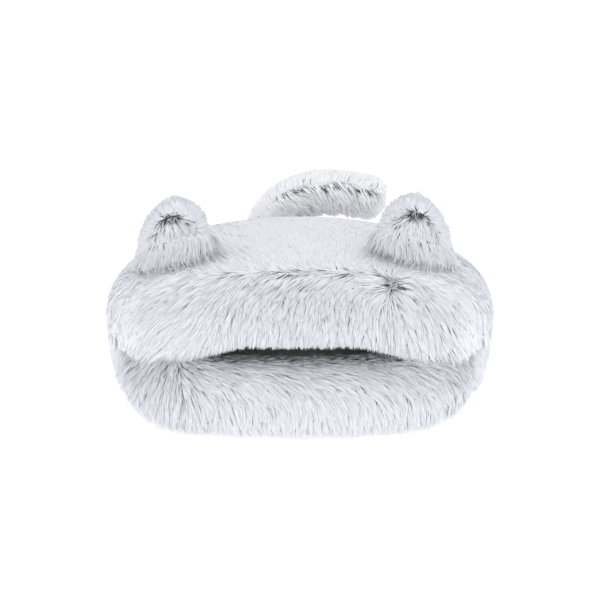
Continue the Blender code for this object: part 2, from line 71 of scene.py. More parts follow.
# %% Read the sizes from the CAD nodes
hood_low, hood_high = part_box("hood_fur_cover")
wall_low, wall_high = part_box("base_wall_cover")
lip_low, lip_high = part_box("front_lip_cover")
brow_low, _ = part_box("brow_fur_cover")

HALF_WIDTH = hood_high.x
REAR = hood_high.y
FRONT = -brow_low.y
TOP = hood_high.z
SEAM = (hood_low.z + wall_high.z) / 2
PLAN_FRONT, PLAN_REAR = 2.7, 2.2
CROWN_FRONT, CROWN_REAR = 3.0, 2.3
HOOD_THICKNESS = 0.030
MOUTH_TOP = brow_low.z

JOINTS = {joint["name"]: joint for joint in frame["joints"]}
_, CREST_Y, CREST_Z = JOINTS["brow_lift"]["pos_m"]

LIP_SECTION, LIP_POWER = 2.4, 2.8
LIP_JOIN_Y = lip_high.y
LIP_HALF_DEPTH, ROLL_RADIUS = 0.052, 0.047
LIP_HALF_WIDTH = lip_high.x - LIP_HALF_DEPTH
LIP_CENTRE_Y = -0.075
LIP_REACH = LIP_CENTRE_Y - lip_low.y - LIP_HALF_DEPTH
LIP_FLOOR, LIP_TOP = lip_low.z, lip_high.z
LIP_MIDDLE, LIP_LEVEL = np.array([0.0, LIP_CENTRE_Y]), (LIP_TOP + LIP_FLOOR) / 2

# How far each skin lies inside the fur's surface, how far the wall draws in at the floor, and how far in front.
SKIN_INSET, CROWN_INSET, CREST_INSET, LIP_INSET = 0.004, 0.0012, 0.0018, 0.0022
FLOOR_INSET, SHOULDER = 0.028, 0.075
DEG = math.pi / 180
draw = np.random.default_rng(11)
print("hood", round(2 * HALF_WIDTH, 3), "wide,", round(FRONT + REAR, 3), "deep,", round(TOP, 3), "high")

# %% [markdown]
# ## Small tools for arrays
#
# Every surface below is a function that takes whole arrays and returns points, so one call makes a whole skin.


# %% Array helpers
def power(value, exponent):
    """The value's size raised to the exponent, with its sign kept."""
    return np.sign(value) * np.abs(value) ** exponent


def ease(value):
    """0 below 0, 1 above 1, and the smooth step 3v^2 - 2v^3 between."""
    value = np.clip(value, 0.0, 1.0)
    return value * value * (3 - 2 * value)


def unit(vectors):
    """Each vector divided by its length."""
    return vectors / np.maximum(np.linalg.norm(vectors, axis=-1, keepdims=True), 1e-9)


def xyz(x, y, z):
    """Three coordinates, spread to one shape and stacked into points."""
    return np.stack(np.broadcast_arrays(x, y, z), -1)


def oval(x, y, a, b, p):
    """0 in the middle of a superellipse and 1 on it: the p-th root of |x/a|^p + |y/b|^p."""
    return (np.abs(x / a) ** p + np.abs(y / b) ** p) ** (1 / p)


def rest(share, p):
    """The height of a superellipse of size 1 at this share of its width: (1 - share^p)^(1/p)."""
    return np.clip(1 - share**p, 0, 1) ** (1 / p)


def bell(value, width):
    """1 at 0, falling as exp(-(value/width)^2) on both sides."""
    return np.exp(-((value / width) ** 2))


def waves(points, size, seed):
    """Smooth noise from -1 to 1: the mean of six sine waves of about this size, in directions drawn from the seed."""
    dice = np.random.default_rng(seed)
    turns = unit(dice.normal(size=(6, 3))) * (2 * math.pi / size) * dice.uniform(0.6, 1.5, (6, 1))
    return np.sin(points @ turns.T + dice.uniform(0, 6.3, 6)).mean(-1) * 1.6


# %% [markdown]
# ## The shape of the hood
#
# The hood is a dome over the superellipse. A point is named by its direction round the plan and by its rise, an angle
# that is 0 at the seam and a quarter turn at the top.


# %% The hood and the wall as functions
def plan(turn, inset=0.0, centre_y=0.0, half_width=None, front=None, rear=None, powers=None):
    """x = a cos^(2/p) and y = b sin^(2/p) of the turn, where b and p differ in front of and behind the middle."""
    half_width = HALF_WIDTH if half_width is None else half_width
    front, rear = FRONT if front is None else front, REAR if rear is None else rear
    front_power, rear_power = powers or (PLAN_FRONT, PLAN_REAR)
    behind = np.sin(turn) >= 0
    shape = 2 / np.where(behind, rear_power, front_power)
    reach = np.where(behind, rear, front) - inset
    return (half_width - inset) * power(np.cos(turn), shape), centre_y + reach * power(np.sin(turn), shape)


def crown_power(turn):
    """CROWN_REAR behind the middle and CROWN_FRONT before it, eased by the sine of the turn."""
    return CROWN_REAR + (CROWN_FRONT - CROWN_REAR) * ease(0.5 - np.sin(turn))


def dome(turn, rise, inset=0.0):
    """The plan's outline shrunk by cos(rise)^(2/m), at the height (1 - share^m)^(1/m) of the crown."""
    m = crown_power(turn)
    share = np.cos(rise) ** (2 / m)
    x, y = plan(turn, inset)
    return xyz(x * share, y * share, SEAM + (TOP - inset - SEAM) * rest(share, m))


def before_join(turn):
    """0 where the wall stands free, easing to 1 within 55 mm in front of the plane where the front roll joins it."""
    return ease((LIP_JOIN_Y + 0.004 - plan(turn)[1]) / 0.055)


def wall_side(turn, drop, inset=0.0):
    """The base's outer side: drop 0 is the seam and a quarter turn is the floor, where FLOOR_INSET has drawn it in."""
    bulge = FLOOR_INSET * (1 - np.cos(drop) ** (2 / PLAN_REAR))
    x, y = plan(turn, inset + bulge + SHOULDER * before_join(turn))
    low = wall_low.z + inset * 0.5
    return xyz(x, y, SEAM - (SEAM - low) * np.sin(drop) ** (2 / PLAN_REAR))


def body_side(turn, level, inset=0.0):
    """The hood above and the wall below as one skin: level is the rise when positive and the drop when negative."""
    above = dome(turn, np.clip(level, 0, math.pi / 2), inset)
    below = wall_side(turn, np.clip(-level, 0, math.pi / 2), inset)
    return np.where((level >= 0)[..., None], above, below)


# %% [markdown]
# ## From a grid of points to a mesh
#
# A skin is a grid of points. Neighbouring points make its faces, and a grid that comes back to its start is closed
# there. A thick skin is an outer grid and an inner grid, sewn together round their edges.


# %% Mesh makers
def new_piece(name, points, face_sets, material):
    """An object from its points and its faces: one array of corner numbers for each number of corners."""
    points = np.asarray(points, np.float32).reshape(-1, 3)
    corners = np.concatenate([faces.ravel() for faces in face_sets]).astype(np.int32)
    sides = np.concatenate([np.full(len(faces), faces.shape[1]) for faces in face_sets]).astype(np.int32)
    mesh = bpy.data.meshes.new(name)
    mesh.vertices.add(len(points))
    mesh.vertices.foreach_set("co", points.ravel())
    mesh.loops.add(len(corners))
    mesh.loops.foreach_set("vertex_index", corners)
    mesh.polygons.add(len(sides))
    mesh.polygons.foreach_set("loop_start", (np.cumsum(sides) - sides).astype(np.int32))
    mesh.polygons.foreach_set("loop_total", sides)
    mesh.update(calc_edges=True)
    mesh.validate()
    mesh.shade_smooth()
    mesh.materials.append(material)
    piece = bpy.data.objects.new(name, mesh)
    bpy.context.scene.collection.objects.link(piece)
    return piece


def point_outwards(piece):
    """Joins points that lie on each other and turns every face away from the closed inside."""
    work = bmesh.new()
    work.from_mesh(piece.data)
    bmesh.ops.remove_doubles(work, verts=work.verts, dist=1e-6)
    bmesh.ops.recalc_face_normals(work, faces=work.faces)
    work.to_mesh(piece.data)
    work.free()


def grid_faces(rows, columns, round_rows=False, round_columns=False):
    """The corner numbers of each square of a grid whose points are numbered row by row."""
    r = np.arange(rows if round_rows else rows - 1)
    c = np.arange(columns if round_columns else columns - 1)
    r, c = np.meshgrid(r, c, indexing="ij")
    r2, c2 = (r + 1) % rows, (c + 1) % columns
    corners = [r * columns + c, r * columns + c2, r2 * columns + c2, r2 * columns + c]
    return np.stack(corners, -1).reshape(-1, 4)


def thick_skin(name, outer, inner, material, lining, round_columns=False):
    """Two grids of one size, joined along the first and last row, and along the end columns if it isn't round."""
    rows, columns = outer.shape[:2]
    loop = np.concatenate([outer, inner[::-1]], 0)
    faces = [grid_faces(2 * rows, columns, round_rows=True, round_columns=round_columns)]
    if not round_columns:
        for c, flip in ((0, False), (columns - 1, True)):
            r = np.arange(rows - 1)
            a, b = r * columns + c, (r + 1) * columns + c
            far = 2 * rows - 1
            cap = np.stack([a, b, (far - r - 1) * columns + c, (far - r) * columns + c], -1)
            faces.append(cap[:, ::-1] if flip else cap)
    piece = new_piece(name, loop, [np.concatenate(faces)], material)
    piece.data.materials.append(lining)
    inner_faces = np.zeros(len(piece.data.polygons), np.int32)
    inner_faces[rows * (columns if round_columns else columns - 1) : len(faces[0])] = 1
    piece.data.polygons.foreach_set("material_index", inner_faces)
    point_outwards(piece)
    return piece


def ring_skin(name, rings, material):
    """A closed tube through rings of points, with a flat fan from the middle of the ring at each end."""
    count, around = rings.shape[:2]
    points = np.concatenate([rings.reshape(-1, 3), rings[0].mean(0)[None], rings[-1].mean(0)[None]])
    here = np.arange(around)
    after = (here + 1) % around
    last = (count - 1) * around
    fans = [np.stack([here, after, 0 * here + count * around], -1),
            np.stack([last + after, last + here, 0 * here + count * around + 1], -1)]
    piece = new_piece(name, points, [grid_faces(count, around, round_columns=True), *fans], material)
    point_outwards(piece)
    return piece


def paint_paleness(piece, share):
    """Stores on each point how pale the backing is there, from a rule over the points."""
    co = np.empty(len(piece.data.vertices) * 3, np.float32)
    piece.data.vertices.foreach_get("co", co)
    tone = piece.data.attributes.new("paleness", "FLOAT", "POINT")
    tone.data.foreach_set("value", share(co.reshape(-1, 3)).astype(np.float32))


# %% [markdown]
# ## The fur's colour
#
# Each strand brings its own map: across the map runs the strand's shade, and up it runs the way from root to tip. The
# root is charcoal, and the lower the shade, the further up the white begins. Where the fur is brushed flat and pale,
# only high shades are used, whose roots are nearly white. The backing under it is charcoal or pale to match.


# %% Materials for skin and fur
WHITE = (0.82, 0.832, 0.875)


def new_material(name):
    """A material with its node tree and its shader."""
    made = bpy.data.materials.new(name)
    made.use_nodes = True
    return made, made.node_tree, made.node_tree.nodes["Principled BSDF"]


def feed(tree, node, inputs):
    """Gives each named or numbered input its constant, or a link from the output that feeds it."""
    for key, value in inputs.items():
        if isinstance(value, bpy.types.NodeSocket):
            tree.links.new(value, node.inputs[key])
        else:
            node.inputs[key].default_value = value


def add(tree, kind, inputs):
    """A new node of this kind with its inputs fed."""
    node = tree.nodes.new("ShaderNode" + kind)
    feed(tree, node, inputs)
    return node


def times_plus(tree, value, factor, extra):
    """value times factor, plus extra."""
    node = add(tree, "Math", {0: value, 1: factor, 2: extra})
    node.operation = "MULTIPLY_ADD"
    return node.outputs[0]


def ramp(tree, value, stops):
    """A colour for each value, from stops of (place, colour) with straight lines between."""
    node = add(tree, "ValToRGB", {0: value})
    while len(node.color_ramp.elements) < len(stops):
        node.color_ramp.elements.new(0.5)
    for element, (place, colour) in zip(node.color_ramp.elements, stops):
        element.position = place
        element.color = (*colour, 1.0)
    return node.outputs["Color"]


def mixed(tree, share, first, second):
    """first where the share is 0 and second, a constant colour, where it is 1."""
    node = tree.nodes.new("ShaderNodeMix")
    node.data_type = "RGBA"
    feed(tree, node, {"Factor": share, "A": first, "B": (*second, 1)})
    return node.outputs["Result"]


def noise(tree, scale, detail):
    """Noise over the piece's own place, scale times to the metre."""
    place = add(tree, "TexCoord", {})
    return add(tree, "TexNoise", {"Vector": place.outputs["Object"], "Scale": scale, "Detail": detail}).outputs["Fac"]


def bump(tree, height, strength, distance):
    """A normal tilted by the height's slope."""
    return add(tree, "Bump", {"Height": height, "Strength": strength, "Distance": distance}).outputs["Normal"]


CHARCOAL, SLATE = (0.030, 0.033, 0.045), (0.17, 0.18, 0.22)


def fur_material(name, tip=WHITE):
    """The tone rises 2.4 times with the height up the strand and 3.1 times with its shade, less 2.1: charcoal at 0."""
    made, tree, shader = new_material(name)
    own_map = tree.nodes.new("ShaderNodeUVMap")
    own_map.uv_map = "OFBake"
    split = add(tree, "SeparateXYZ", {0: own_map.outputs["UV"]})
    height = times_plus(tree, split.outputs["Y"], 2.4, times_plus(tree, split.outputs["X"], 3.1, -2.1))
    tone = ramp(tree, height, [(0.0, CHARCOAL), (0.35, SLATE), (0.70, tuple(0.68 * c for c in tip)), (1.0, tip)])
    feed(tree, shader, {"Base Color": tone, "Roughness": 0.8, "Specular IOR Level": 0.12})
    return made


def skin_material(name):
    """The knitted backing that the pile grows from: charcoal where the pile parts, pale where it lies flat."""
    made, tree, shader = new_material(name)
    tone = ramp(tree, noise(tree, 240, 3), [(0.35, (0.10, 0.11, 0.13)), (0.65, (0.30, 0.32, 0.36))])
    paleness = tree.nodes.new("ShaderNodeAttribute")
    paleness.attribute_name = "paleness"
    feed(tree, shader, {"Base Color": mixed(tree, paleness.outputs["Fac"], tone, WHITE), "Roughness": 0.9})
    return made


def plush_material(name, low, high):
    """Short pile: two tones by half a blotchy noise plus half a fine one, which also raises the surface."""
    made, tree, shader = new_material(name)
    blotch, fine = noise(tree, 38, 4), noise(tree, 900, 3)
    both = times_plus(tree, blotch, 0.5, times_plus(tree, fine, 0.5, 0.0))
    tone = ramp(tree, both, [(0.36, low), (0.64, high)])
    feed(tree, shader, {"Base Color": tone, "Normal": bump(tree, fine, 0.6, 0.002), "Roughness": 0.95,
                        "Sheen Weight": 0.4})
    return made


FUR = fur_material("long pile, charcoal root to white tip")
# Painted shade: the ears' pile tips are greyer than the rest to darken the ears, whose fronts face the key light.
EAR_FUR_PAINTED_SHADE = fur_material("ear pile, a little greyer", (0.700, 0.712, 0.758))
# Painted light: the tail's pile tips are whiter than the rest to brighten the tail, which faces down and lies farther
# from the key light.
TAIL_FUR_PAINTED_LIGHT = fur_material("tail pile, a little whiter", (0.93, 0.937, 0.955))
BACKING = skin_material("knitted backing")
LINING = plush_material("short plush lining", (0.50, 0.52, 0.59), (0.71, 0.74, 0.82))

# %% [markdown]
# ## Which way the fur lies
#
# Fur is brushed. It parts along a line in front of the crest. Below that line it fans out of a whorl, far to the right
# on the forehead, and then falls. Behind it, it runs back and outwards, and round the sides it falls. Across the front
# roll it sweeps to the right on top and falls at the hem. Each rule is a direction for each point, later laid into the
# surface.

# %% Brushing rules
WHORL = np.array([0.122, CREST_Y - 0.033, CREST_Z - 0.026])
LINE_Y = CREST_Y - 0.019
DOWN = np.array([0.0, 0.0, -1.0])
WIDER = np.array([0.8, 1, 1])


def brush_body(points):
    """Forehead: away from the whorl, turning down with depth, less so at the cheeks. Above the parting line and on the
    crown: backwards and outwards. Round the sides: down."""
    x, y, z = points.T
    away = points - WHORL
    away[:, 1] = 0
    depth = (CREST_Z - z) / (CREST_Z - MOUTH_TOP)
    far = ease((np.abs(x - 0.03) - 0.09) / 0.11)
    under_ear = bell(np.abs(x) - 0.165, 0.05) * ease((0.55 - depth) / 0.5)
    early = 0.55 * ease(np.abs(away[:, 0]) / 0.05)
    falling = np.clip(ease(1.25 * depth + early) * (0.90 - 0.42 * far) + 0.32 * under_ear, 0, 1)[:, None]
    forehead = unit(away + DOWN * 0.004) * (1 - falling) + DOWN * falling
    sideways = np.sign(x) * ease((np.abs(x) - 0.10) / 0.10)
    crown = xyz(x * 1.6 + 0.25 * sideways, 0.55, -0.2 - 1.5 * ease((0.20 - z) / 0.08))
    above = xyz((x - 0.03) * 4, 0.45, 0)
    crown = unit(crown) + unit(above) * ease((-0.04 - y) / 0.05)[:, None]
    behind = ease((y - LINE_Y + 0.006) / 0.012)[:, None]
    side = ease((np.abs(x) - 0.190) / 0.035)[:, None]
    side = side + (1 - side) * behind * (ease((np.abs(x) - 0.11) / 0.09) * ease((-0.03 - y) / 0.05))[:, None]
    round_side = unit(xyz(0.5 * np.sign(x), 0, -1))
    return (unit(forehead) * (1 - behind) + unit(crown) * behind) * (1 - side) + round_side * side


def brush_lip(points):
    """The top sweeps to the right, the front turns down, and the left end, where the sweep starts, falls straight."""
    x, _, z = points.T
    top = ease((z - 0.052) / 0.040)
    left = ease((-0.125 - x) / 0.055)
    across = (0.16 + 0.95 * top) * (1 - left) - (0.10 + 1.2 * ease((-0.19 - x) / 0.05)) * left
    return unit(xyz(across, -0.45 * top - 0.2, -0.12 - 0.95 * (1 - top)))


# %% [markdown]
# ## Growing strands
#
# A strand is a narrow ribbon of four rows, curved and tapered. Roots are drawn so that every bit of skin has its
# share: a fine grid of the surface gives the area of each cell, and roots fall in cells by area. Strands then gather
# into locks: each bends towards one strand of its lock, most of all at its tip. That opens the gaps between locks,
# through which the charcoal roots show. Where a patch overhangs its neighbour, its strands are moved to lie on it.


# %% Even roots, and the way out of the surface at each
GRID = (220, 90)
DENSITY = 0.36e6


def scatter(surface, low, high, count):
    """count points (u, v) spread evenly over the surface's area, by the area of a fine grid's cells."""
    u, v = (np.linspace(low[i], high[i], GRID[i] + 1) for i in (0, 1))
    points = surface(*np.meshgrid(u, v, indexing="ij"))
    side, up = points[1:, :-1] - points[:-1, :-1], points[:-1, 1:] - points[:-1, :-1]
    area = np.linalg.norm(np.cross(side, up), axis=-1).ravel()
    total = np.cumsum(area)
    cell = np.searchsorted(total, draw.uniform(0, total[-1], count))
    cell = np.minimum(cell, len(area) - 1)
    iu, iv = np.divmod(cell, GRID[1])
    inside = draw.uniform(0, 1, (2, count))
    return u[iu] + inside[0] * (u[1] - u[0]), v[iv] + inside[1] * (v[1] - v[0]), total[-1]


def roots(surface, low, high, share):
    """Even roots, DENSITY times share to the square metre. A first handful of them serves to learn the area."""
    area = scatter(surface, low, high, 10)[2]
    return scatter(surface, low, high, int(area * DENSITY * share))[:2]


def with_normals(surface, u, v, centre):
    """The points, and the outward normals from the cross product of two short steps along the surface."""
    step = 1e-3
    here = surface(u, v)
    across = surface(u + step, v) - surface(u - step, v)
    along = surface(u, v + step) - surface(u, v - step)
    normal = unit(np.cross(across, along))
    outward = here - centre(here) if callable(centre) else here - centre
    return here, normal * np.sign((normal * outward).sum(-1, keepdims=True) + 1e-12)


def nearest(points, centres):
    """For each point, the number of the closest centre, worked out in blocks."""
    out = np.empty(len(points), np.int64)
    size = (centres**2).sum(1)
    for start in range(0, len(points), 4000):
        block = points[start : start + 4000]
        out[start : start + 4000] = np.argmin(size - 2 * block @ centres.T, axis=1)
    return out


# %% Lying over a neighbour
# How far over a neighbour's surface each of the four rows lies: the root stays, the others keep these heights.
OVER_HOOD = np.array([-1.0, 0.0015, 0.0010, -0.0015])
OVER_ROLL = np.array([-1.0, 0.0015, 0.0025, 0.0020])
SETTLE = np.array([0, 0, 0.4, 1.0])


def lie_on_hood(rows, settle=False):
    """Points inside the hood move straight out from the middle of its seam plane, to just over its surface. With
    settle, tips that hang within 20 mm above it move in as well, so that the ends sink into its pile."""
    x, y, z = rows[..., 0], rows[..., 1], np.maximum(rows[..., 2] - SEAM, 0)
    behind = y >= 0
    reach, shape = np.where(behind, REAR, FRONT), np.where(behind, PLAN_REAR, PLAN_FRONT)
    share = oval(x, y, HALF_WIDTH, reach, shape) + 1e-6
    m = CROWN_REAR + (CROWN_FRONT - CROWN_REAR) * ease(0.5 - power(y / (reach * share), shape / 2))
    k = (share**m + (z / (TOP - SEAM)) ** m) ** (1 / m)
    out = rows - np.array([0, 0, SEAM])
    size = np.linalg.norm(out, axis=-1)
    wanted = 1 + OVER_HOOD / size
    new = np.maximum(k, wanted)
    if settle:
        close = ease((0.020 - (k - 1) * size) / 0.008) * SETTLE
        new = new + (wanted - 0.002 / size - new) * close
    return np.array([0, 0, SEAM]) + out * (new / k)[..., None]


def lie_on_roll(rows):
    """Points inside the front roll move out from its centreline to just over its surface."""
    flat = rows[..., :2] - LIP_MIDDLE
    s = np.maximum(oval(flat[..., 0], flat[..., 1], LIP_HALF_WIDTH, LIP_REACH, LIP_POWER), 0.3)[..., None]
    out = np.concatenate([flat * (1 - 1 / s), rows[..., 2:] - LIP_LEVEL], -1)
    away = np.linalg.norm(out[..., :2], axis=-1) / LIP_HALF_DEPTH
    k = oval(away, out[..., 2], 1.0, LIP_TOP - LIP_LEVEL, LIP_SECTION) + 1e-4
    new = np.maximum(k, 1 + OVER_ROLL / ROLL_RADIUS)
    moved = np.concatenate([flat / s, 0 * s + LIP_LEVEL], -1) + out * (new / k)[..., None]
    moved[..., :2] += LIP_MIDDLE
    return np.where((rows[..., 1] < LIP_JOIN_Y)[..., None], moved, rows)


# %% Strands into ribbons
PER_LOCK = 12
ROWS = np.array([0.0, 0.38, 0.72, 1.0])
TAPER = np.array([0.75, 1.0, 0.72, 0.14])
CORNER_ROWS = np.array([[0, 0, 1, 1], [1, 1, 2, 2], [2, 2, 3, 3]])
CORNER_SIDES = np.array([0, 1, 1, 0])
LOWEST_MIDDLE, LOWEST_EDGE = 0.0008, 0.0005


def strand_rows(points, normals, flow, length, lift, fall):
    """Four points a strand: it leaves at the lift angle, bends down to the skin's own direction, and sags a little."""
    t = ROWS[None, :, None]
    up, ahead = np.sin(lift)[:, None, None], np.cos(lift)[:, None, None]
    rise = normals[:, None] * up * (t - 0.42 * t * t)
    run = flow[:, None] * (ahead * t + 0.12 * t * t)
    sag = DOWN * (fall[:, None, None] * t * t)
    return points[:, None] + length[:, None, None] * (rise + run + sag)


def cut_below(rows, limit):
    """Shortens each strand whose tip hangs below its limit, in proportion to what stays above it."""
    start, end = rows[:, 0, 2], rows[:, -1, 2]
    cut = np.where(end < limit, np.clip((start - limit) / np.maximum(start - end, 1e-5), 0.12, 1), 1.0)
    return rows[:, :1] + (rows - rows[:, :1]) * cut[:, None, None]


def ribbons(name, rows, half, shade, material):
    """Three faces a strand, half a width to each side of its rows, with its own map: shade across, height up."""
    count = len(rows)
    verts = np.stack([rows - half, rows + half], 2)
    verts[..., 2] = np.maximum(verts[..., 2], LOWEST_EDGE)
    first = 8 * np.arange(count)[:, None, None] + 2 * np.arange(3)[None, :, None]
    piece = new_piece(name, verts, [(first + np.array([0, 1, 3, 2])).reshape(-1, 4)], material)
    lane = shade[:, None] + np.array([-0.012, 0.012])[None]
    u = np.broadcast_to(lane[:, None, :][..., CORNER_SIDES], (count, 3, 4))
    v = np.broadcast_to(ROWS[CORNER_ROWS][None], (count, 3, 4))
    own_map = piece.data.uv_layers.new(name="OFBake")
    own_map.data.foreach_set("uv", np.stack([u, v * 0.98 + 0.01], -1).astype(np.float32).ravel())
    return piece


def grow(name, points, normals, brush, coat, fringe=None, drape=None):
    """The ribbons of one patch of fur from its roots. coat gives each quality, fringe cuts off what hangs below it,
    and drape lays the strands over a neighbour."""
    count = len(points)
    locks = points[draw.choice(count, max(4, int(count / PER_LOCK)), replace=False)]
    lock = nearest(points, locks)
    chief = np.zeros(len(locks), np.int64)
    chief[lock] = np.arange(count)

    def value(key):
        """The coat's rule for this quality at every root, or its one number."""
        found = coat[key]
        return found(points) if callable(found) else np.full(count, float(found))

    flow = brush(points)
    flow = unit(flow - normals * (flow * normals).sum(1, keepdims=True))
    side = np.cross(normals, flow)
    sway = draw.normal(0, 0.09, len(locks))[lock] + draw.normal(0, 0.06, count) + 0.14 * waves(points, 0.045, 5)
    flow = unit(flow * np.cos(sway)[:, None] + side * np.sin(sway)[:, None])
    side = np.cross(normals, flow)

    length = value("length") * draw.uniform(coat.get("shortest", 0.80), 1.10, count)
    length = length * draw.uniform(0.88, 1.12, len(locks))[lock]
    lift = value("lift") * draw.uniform(0.75, 1.25, count) * draw.uniform(0.85, 1.15, len(locks))[lock]
    rows = strand_rows(points, normals, flow, length, np.clip(lift, 0.05, 1.4), value("fall"))
    gather = (value("gather") * draw.uniform(0.5, 1.1, count))[:, None, None] * (ROWS**1.6)[None, :, None]
    rows = rows + np.clip(gather, 0, 0.95) * (rows[chief[lock]] - rows)
    if fringe is not None:
        rows = cut_below(rows, fringe(rows[:, -1]) - 0.006 * draw.uniform(0, 1, count) ** 2)
    rows = rows if drape is None else drape(rows)
    rows[..., 2] = np.maximum(rows[..., 2], LOWEST_MIDDLE)

    width = value("width") * draw.uniform(0.7, 1.25, count)
    roll = draw.normal(0, 0.35, count)
    across = side * np.cos(roll)[:, None] + normals * np.sin(roll)[:, None]
    half = (width[:, None] * TAPER / 2)[..., None] * across[:, None]
    shade = value("shade") + draw.normal(0, 0.05, count)
    streak = draw.uniform(0, 1, count) < value("streaks") * (1 + 0.8 * waves(points, 0.03, 9))
    shade = np.clip(np.where(streak, draw.uniform(0.22, 0.56, count), shade), 0.015, 0.985)
    print(name, count, "strands in", len(locks), "locks")
    return ribbons(name, rows, half, shade, coat.get("fur", FUR))


# %% [markdown]
# ## The coats
#
# A coat gives, for each point, the strands' length and width in metres, their lift in radians, their shade, the share
# of dark strands among them, how far they gather into locks, and how far they fall. The face's fur is long and
# loosely gathered, with a dark strand here and there. The crown and the outer sides are brushed flat, and pale to the
# root.


# %% Lengths and shades over the body
FACE_SIDE, FACE_FADE = 0.224, 0.028


def in_front(points):
    """0 behind the parting line, easing to 1 within 10 mm in front of it."""
    return ease((LINE_Y + 0.004 - points[:, 1]) / 0.010)


def face_share(points):
    """1 on the face below the parting line, fading to 0 over the crown and round the sides."""
    return in_front(points) * ease((FACE_SIDE - np.abs(points[:, 0])) / FACE_FADE)


def parting(points):
    """How dark the roots show: most at the whorl and a little above it, less along the line to its left, and in a tuft
    on the right cheek. Each is a bell over the distance."""
    x, y, z = points.T
    away = points - WHORL
    spot = bell(np.linalg.norm(away * WIDER, axis=1), 0.0075)
    above = bell(np.linalg.norm((away - np.array([-0.004, 0.018, 0.008])) * WIDER, axis=1), 0.010)
    line = bell(y - LINE_Y + 0.004, 0.006) * ease((x + 0.13) / 0.10) * ease(-away[:, 0] / 0.02)
    tuft = bell(x - 0.200, 0.022) * bell(z - 0.135, 0.035)
    return np.clip(0.90 * spot + 0.30 * above + 0.40 * line + 0.30 * tuft, 0, 1) * in_front(points)


def cheek_edge(points):
    """1 along the lowest 25 mm of the cheeks, where the pile lies out over the front roll."""
    x = np.abs(points[:, 0])
    low = ease((0.122 - points[:, 2]) / 0.022)
    return ease((x - 0.135) / 0.035) * low * in_front(points) * ease((0.250 - x) / 0.05)


BODY_COAT = {
    "length": lambda p: 0.015 + 0.012 * face_share(p) + 0.010 * cheek_edge(p),
    "lift": lambda p: 0.09 + 0.19 * face_share(p) + 0.40 * cheek_edge(p),
    "width": lambda p: 0.0015 - 0.0004 * face_share(p),
    "shade": lambda p: 0.985 - 0.14 * face_share(p) - 0.36 * parting(p),
    "streaks": lambda p: (0.022 + 0.060 * ease(p[:, 0] / 0.15 + 0.8)) * face_share(p) + 0.40 * parting(p),
    "gather": lambda p: 0.15 + 0.40 * face_share(p),
    "fall": lambda p: 0.01 + 0.05 * face_share(p),
}


# %% [markdown]
# ## The hood's skins
#
# The crown is fixed. In front of the crest the hood is a face that can lift: its middle rides on the brow, its
# outer corners stay on the bed, and between them lies a strip that stays where it is built.

# %% The fixed crown, from the crest back
BLEND_START, BLEND_END = 0.198, 0.128
CROWN_OVERLAP, HIGHEST_RISE = 0.001, 89.2 * DEG


def crown_skin(inset):
    """The dome from the crest back: each column starts at the rise where the dome reaches CREST_Y, or at the seam."""
    turn = np.linspace(0, 2 * math.pi, 145)[:-1]
    _, y = plan(turn, inset)
    reach = np.where(y < CREST_Y - CROWN_OVERLAP, (CREST_Y - CROWN_OVERLAP) / np.minimum(y, -1e-6), 1.0)
    lowest = np.arccos(np.clip(reach ** (crown_power(turn) / 2), 0, 1))
    steps = np.linspace(0, 1, 34)[:, None]
    rise = lowest + (HIGHEST_RISE - lowest) * steps
    return dome(turn[None] + 0 * steps, rise, inset)


def pale_of_body(points):
    """The backing is pale, less so on the face, and dark where the fur parts."""
    return 0.97 - 0.30 * face_share(points) - 0.60 * parting(points)


crown = thick_skin("crown_skin", crown_skin(CROWN_INSET), crown_skin(HOOD_THICKNESS), BACKING, LINING, True)
paint_paleness(crown, pale_of_body)
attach(crown, "bed")
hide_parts("hood_fur_cover", "hood_foam", "hood_lining")


# %% The face: a grid over x and over the way from the crest down to the mouth
ARCH_RISE, ARCH_DROP, ARCH_START, ARCH_RUN = 0.009, 0.0245, 0.065, 0.105
CHEEK_START, CHEEK_HANG = 0.135, 0.029


def mouth_edge(x):
    """The hood's front edge: an arch over the mouth that comes down to its corners."""
    return MOUTH_TOP + ARCH_RISE - ARCH_DROP * ease((np.abs(x) - ARCH_START) / ARCH_RUN)


def fringe(tips):
    """How low the face's fur may hang: to the edge over the mouth, and further down over the roll at the cheeks."""
    x = np.abs(tips[:, 0])
    return mouth_edge(x) + 0.001 - CHEEK_HANG * ease((x - CHEEK_START) / 0.045)


def face_point(x, way, inset=0.0):
    """way is 0 on the crest line and 1 on the edge. The rise runs evenly from one to the other, the share is
    cos(rise)^(1/1.5), and z and y follow from the crown's and the plan's powers."""
    a, b = HALF_WIDTH - inset, FRONT - inset
    crest = oval(x, -CREST_Y, a, b, PLAN_FRONT)
    edge = rest(np.clip((mouth_edge(x) - SEAM) / (TOP - inset - SEAM), 0.0, 1), CROWN_FRONT)
    lowest, highest = np.arccos(np.clip(edge, 0, 1) ** 1.5), np.arccos(np.clip(crest, 0, 1) ** 1.5)
    rise = highest + (lowest - highest) * way
    share = np.cos(rise) ** (1 / 1.5)
    z = SEAM + (TOP - inset - SEAM) * rest(share, CROWN_FRONT)
    y = -b * np.clip(share**PLAN_FRONT - np.abs(x / a) ** PLAN_FRONT, 0, 1) ** (1 / PLAN_FRONT)
    return xyz(x, y, z)


def face_inset(way):
    """The face's skin is level with the crown's at the crest, and sinks to make room for its longer pile."""
    return CREST_INSET + (SKIN_INSET - CREST_INSET) * ease((way - 0.03) / 0.2)


FACE_HALF = HALF_WIDTH * rest(-CREST_Y / FRONT, PLAN_FRONT) - 0.0005
BANDS = {
    "face_middle": (-BLEND_END, BLEND_END, "brow"),
    "face_left": (-BLEND_START, -BLEND_END, "bend"),
    "face_right": (BLEND_END, BLEND_START, "bend"),
    "cheek_left": (-FACE_HALF, -BLEND_START, "bed"),
    "cheek_right": (BLEND_START, FACE_HALF, "bed"),
}


def move_with(piece, how):
    """Rides on the brow or the bed, or, for the strip between them, stays in place with its transform baked in."""
    if how == "bend":
        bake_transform(piece)
    else:
        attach(piece, how)
    return piece


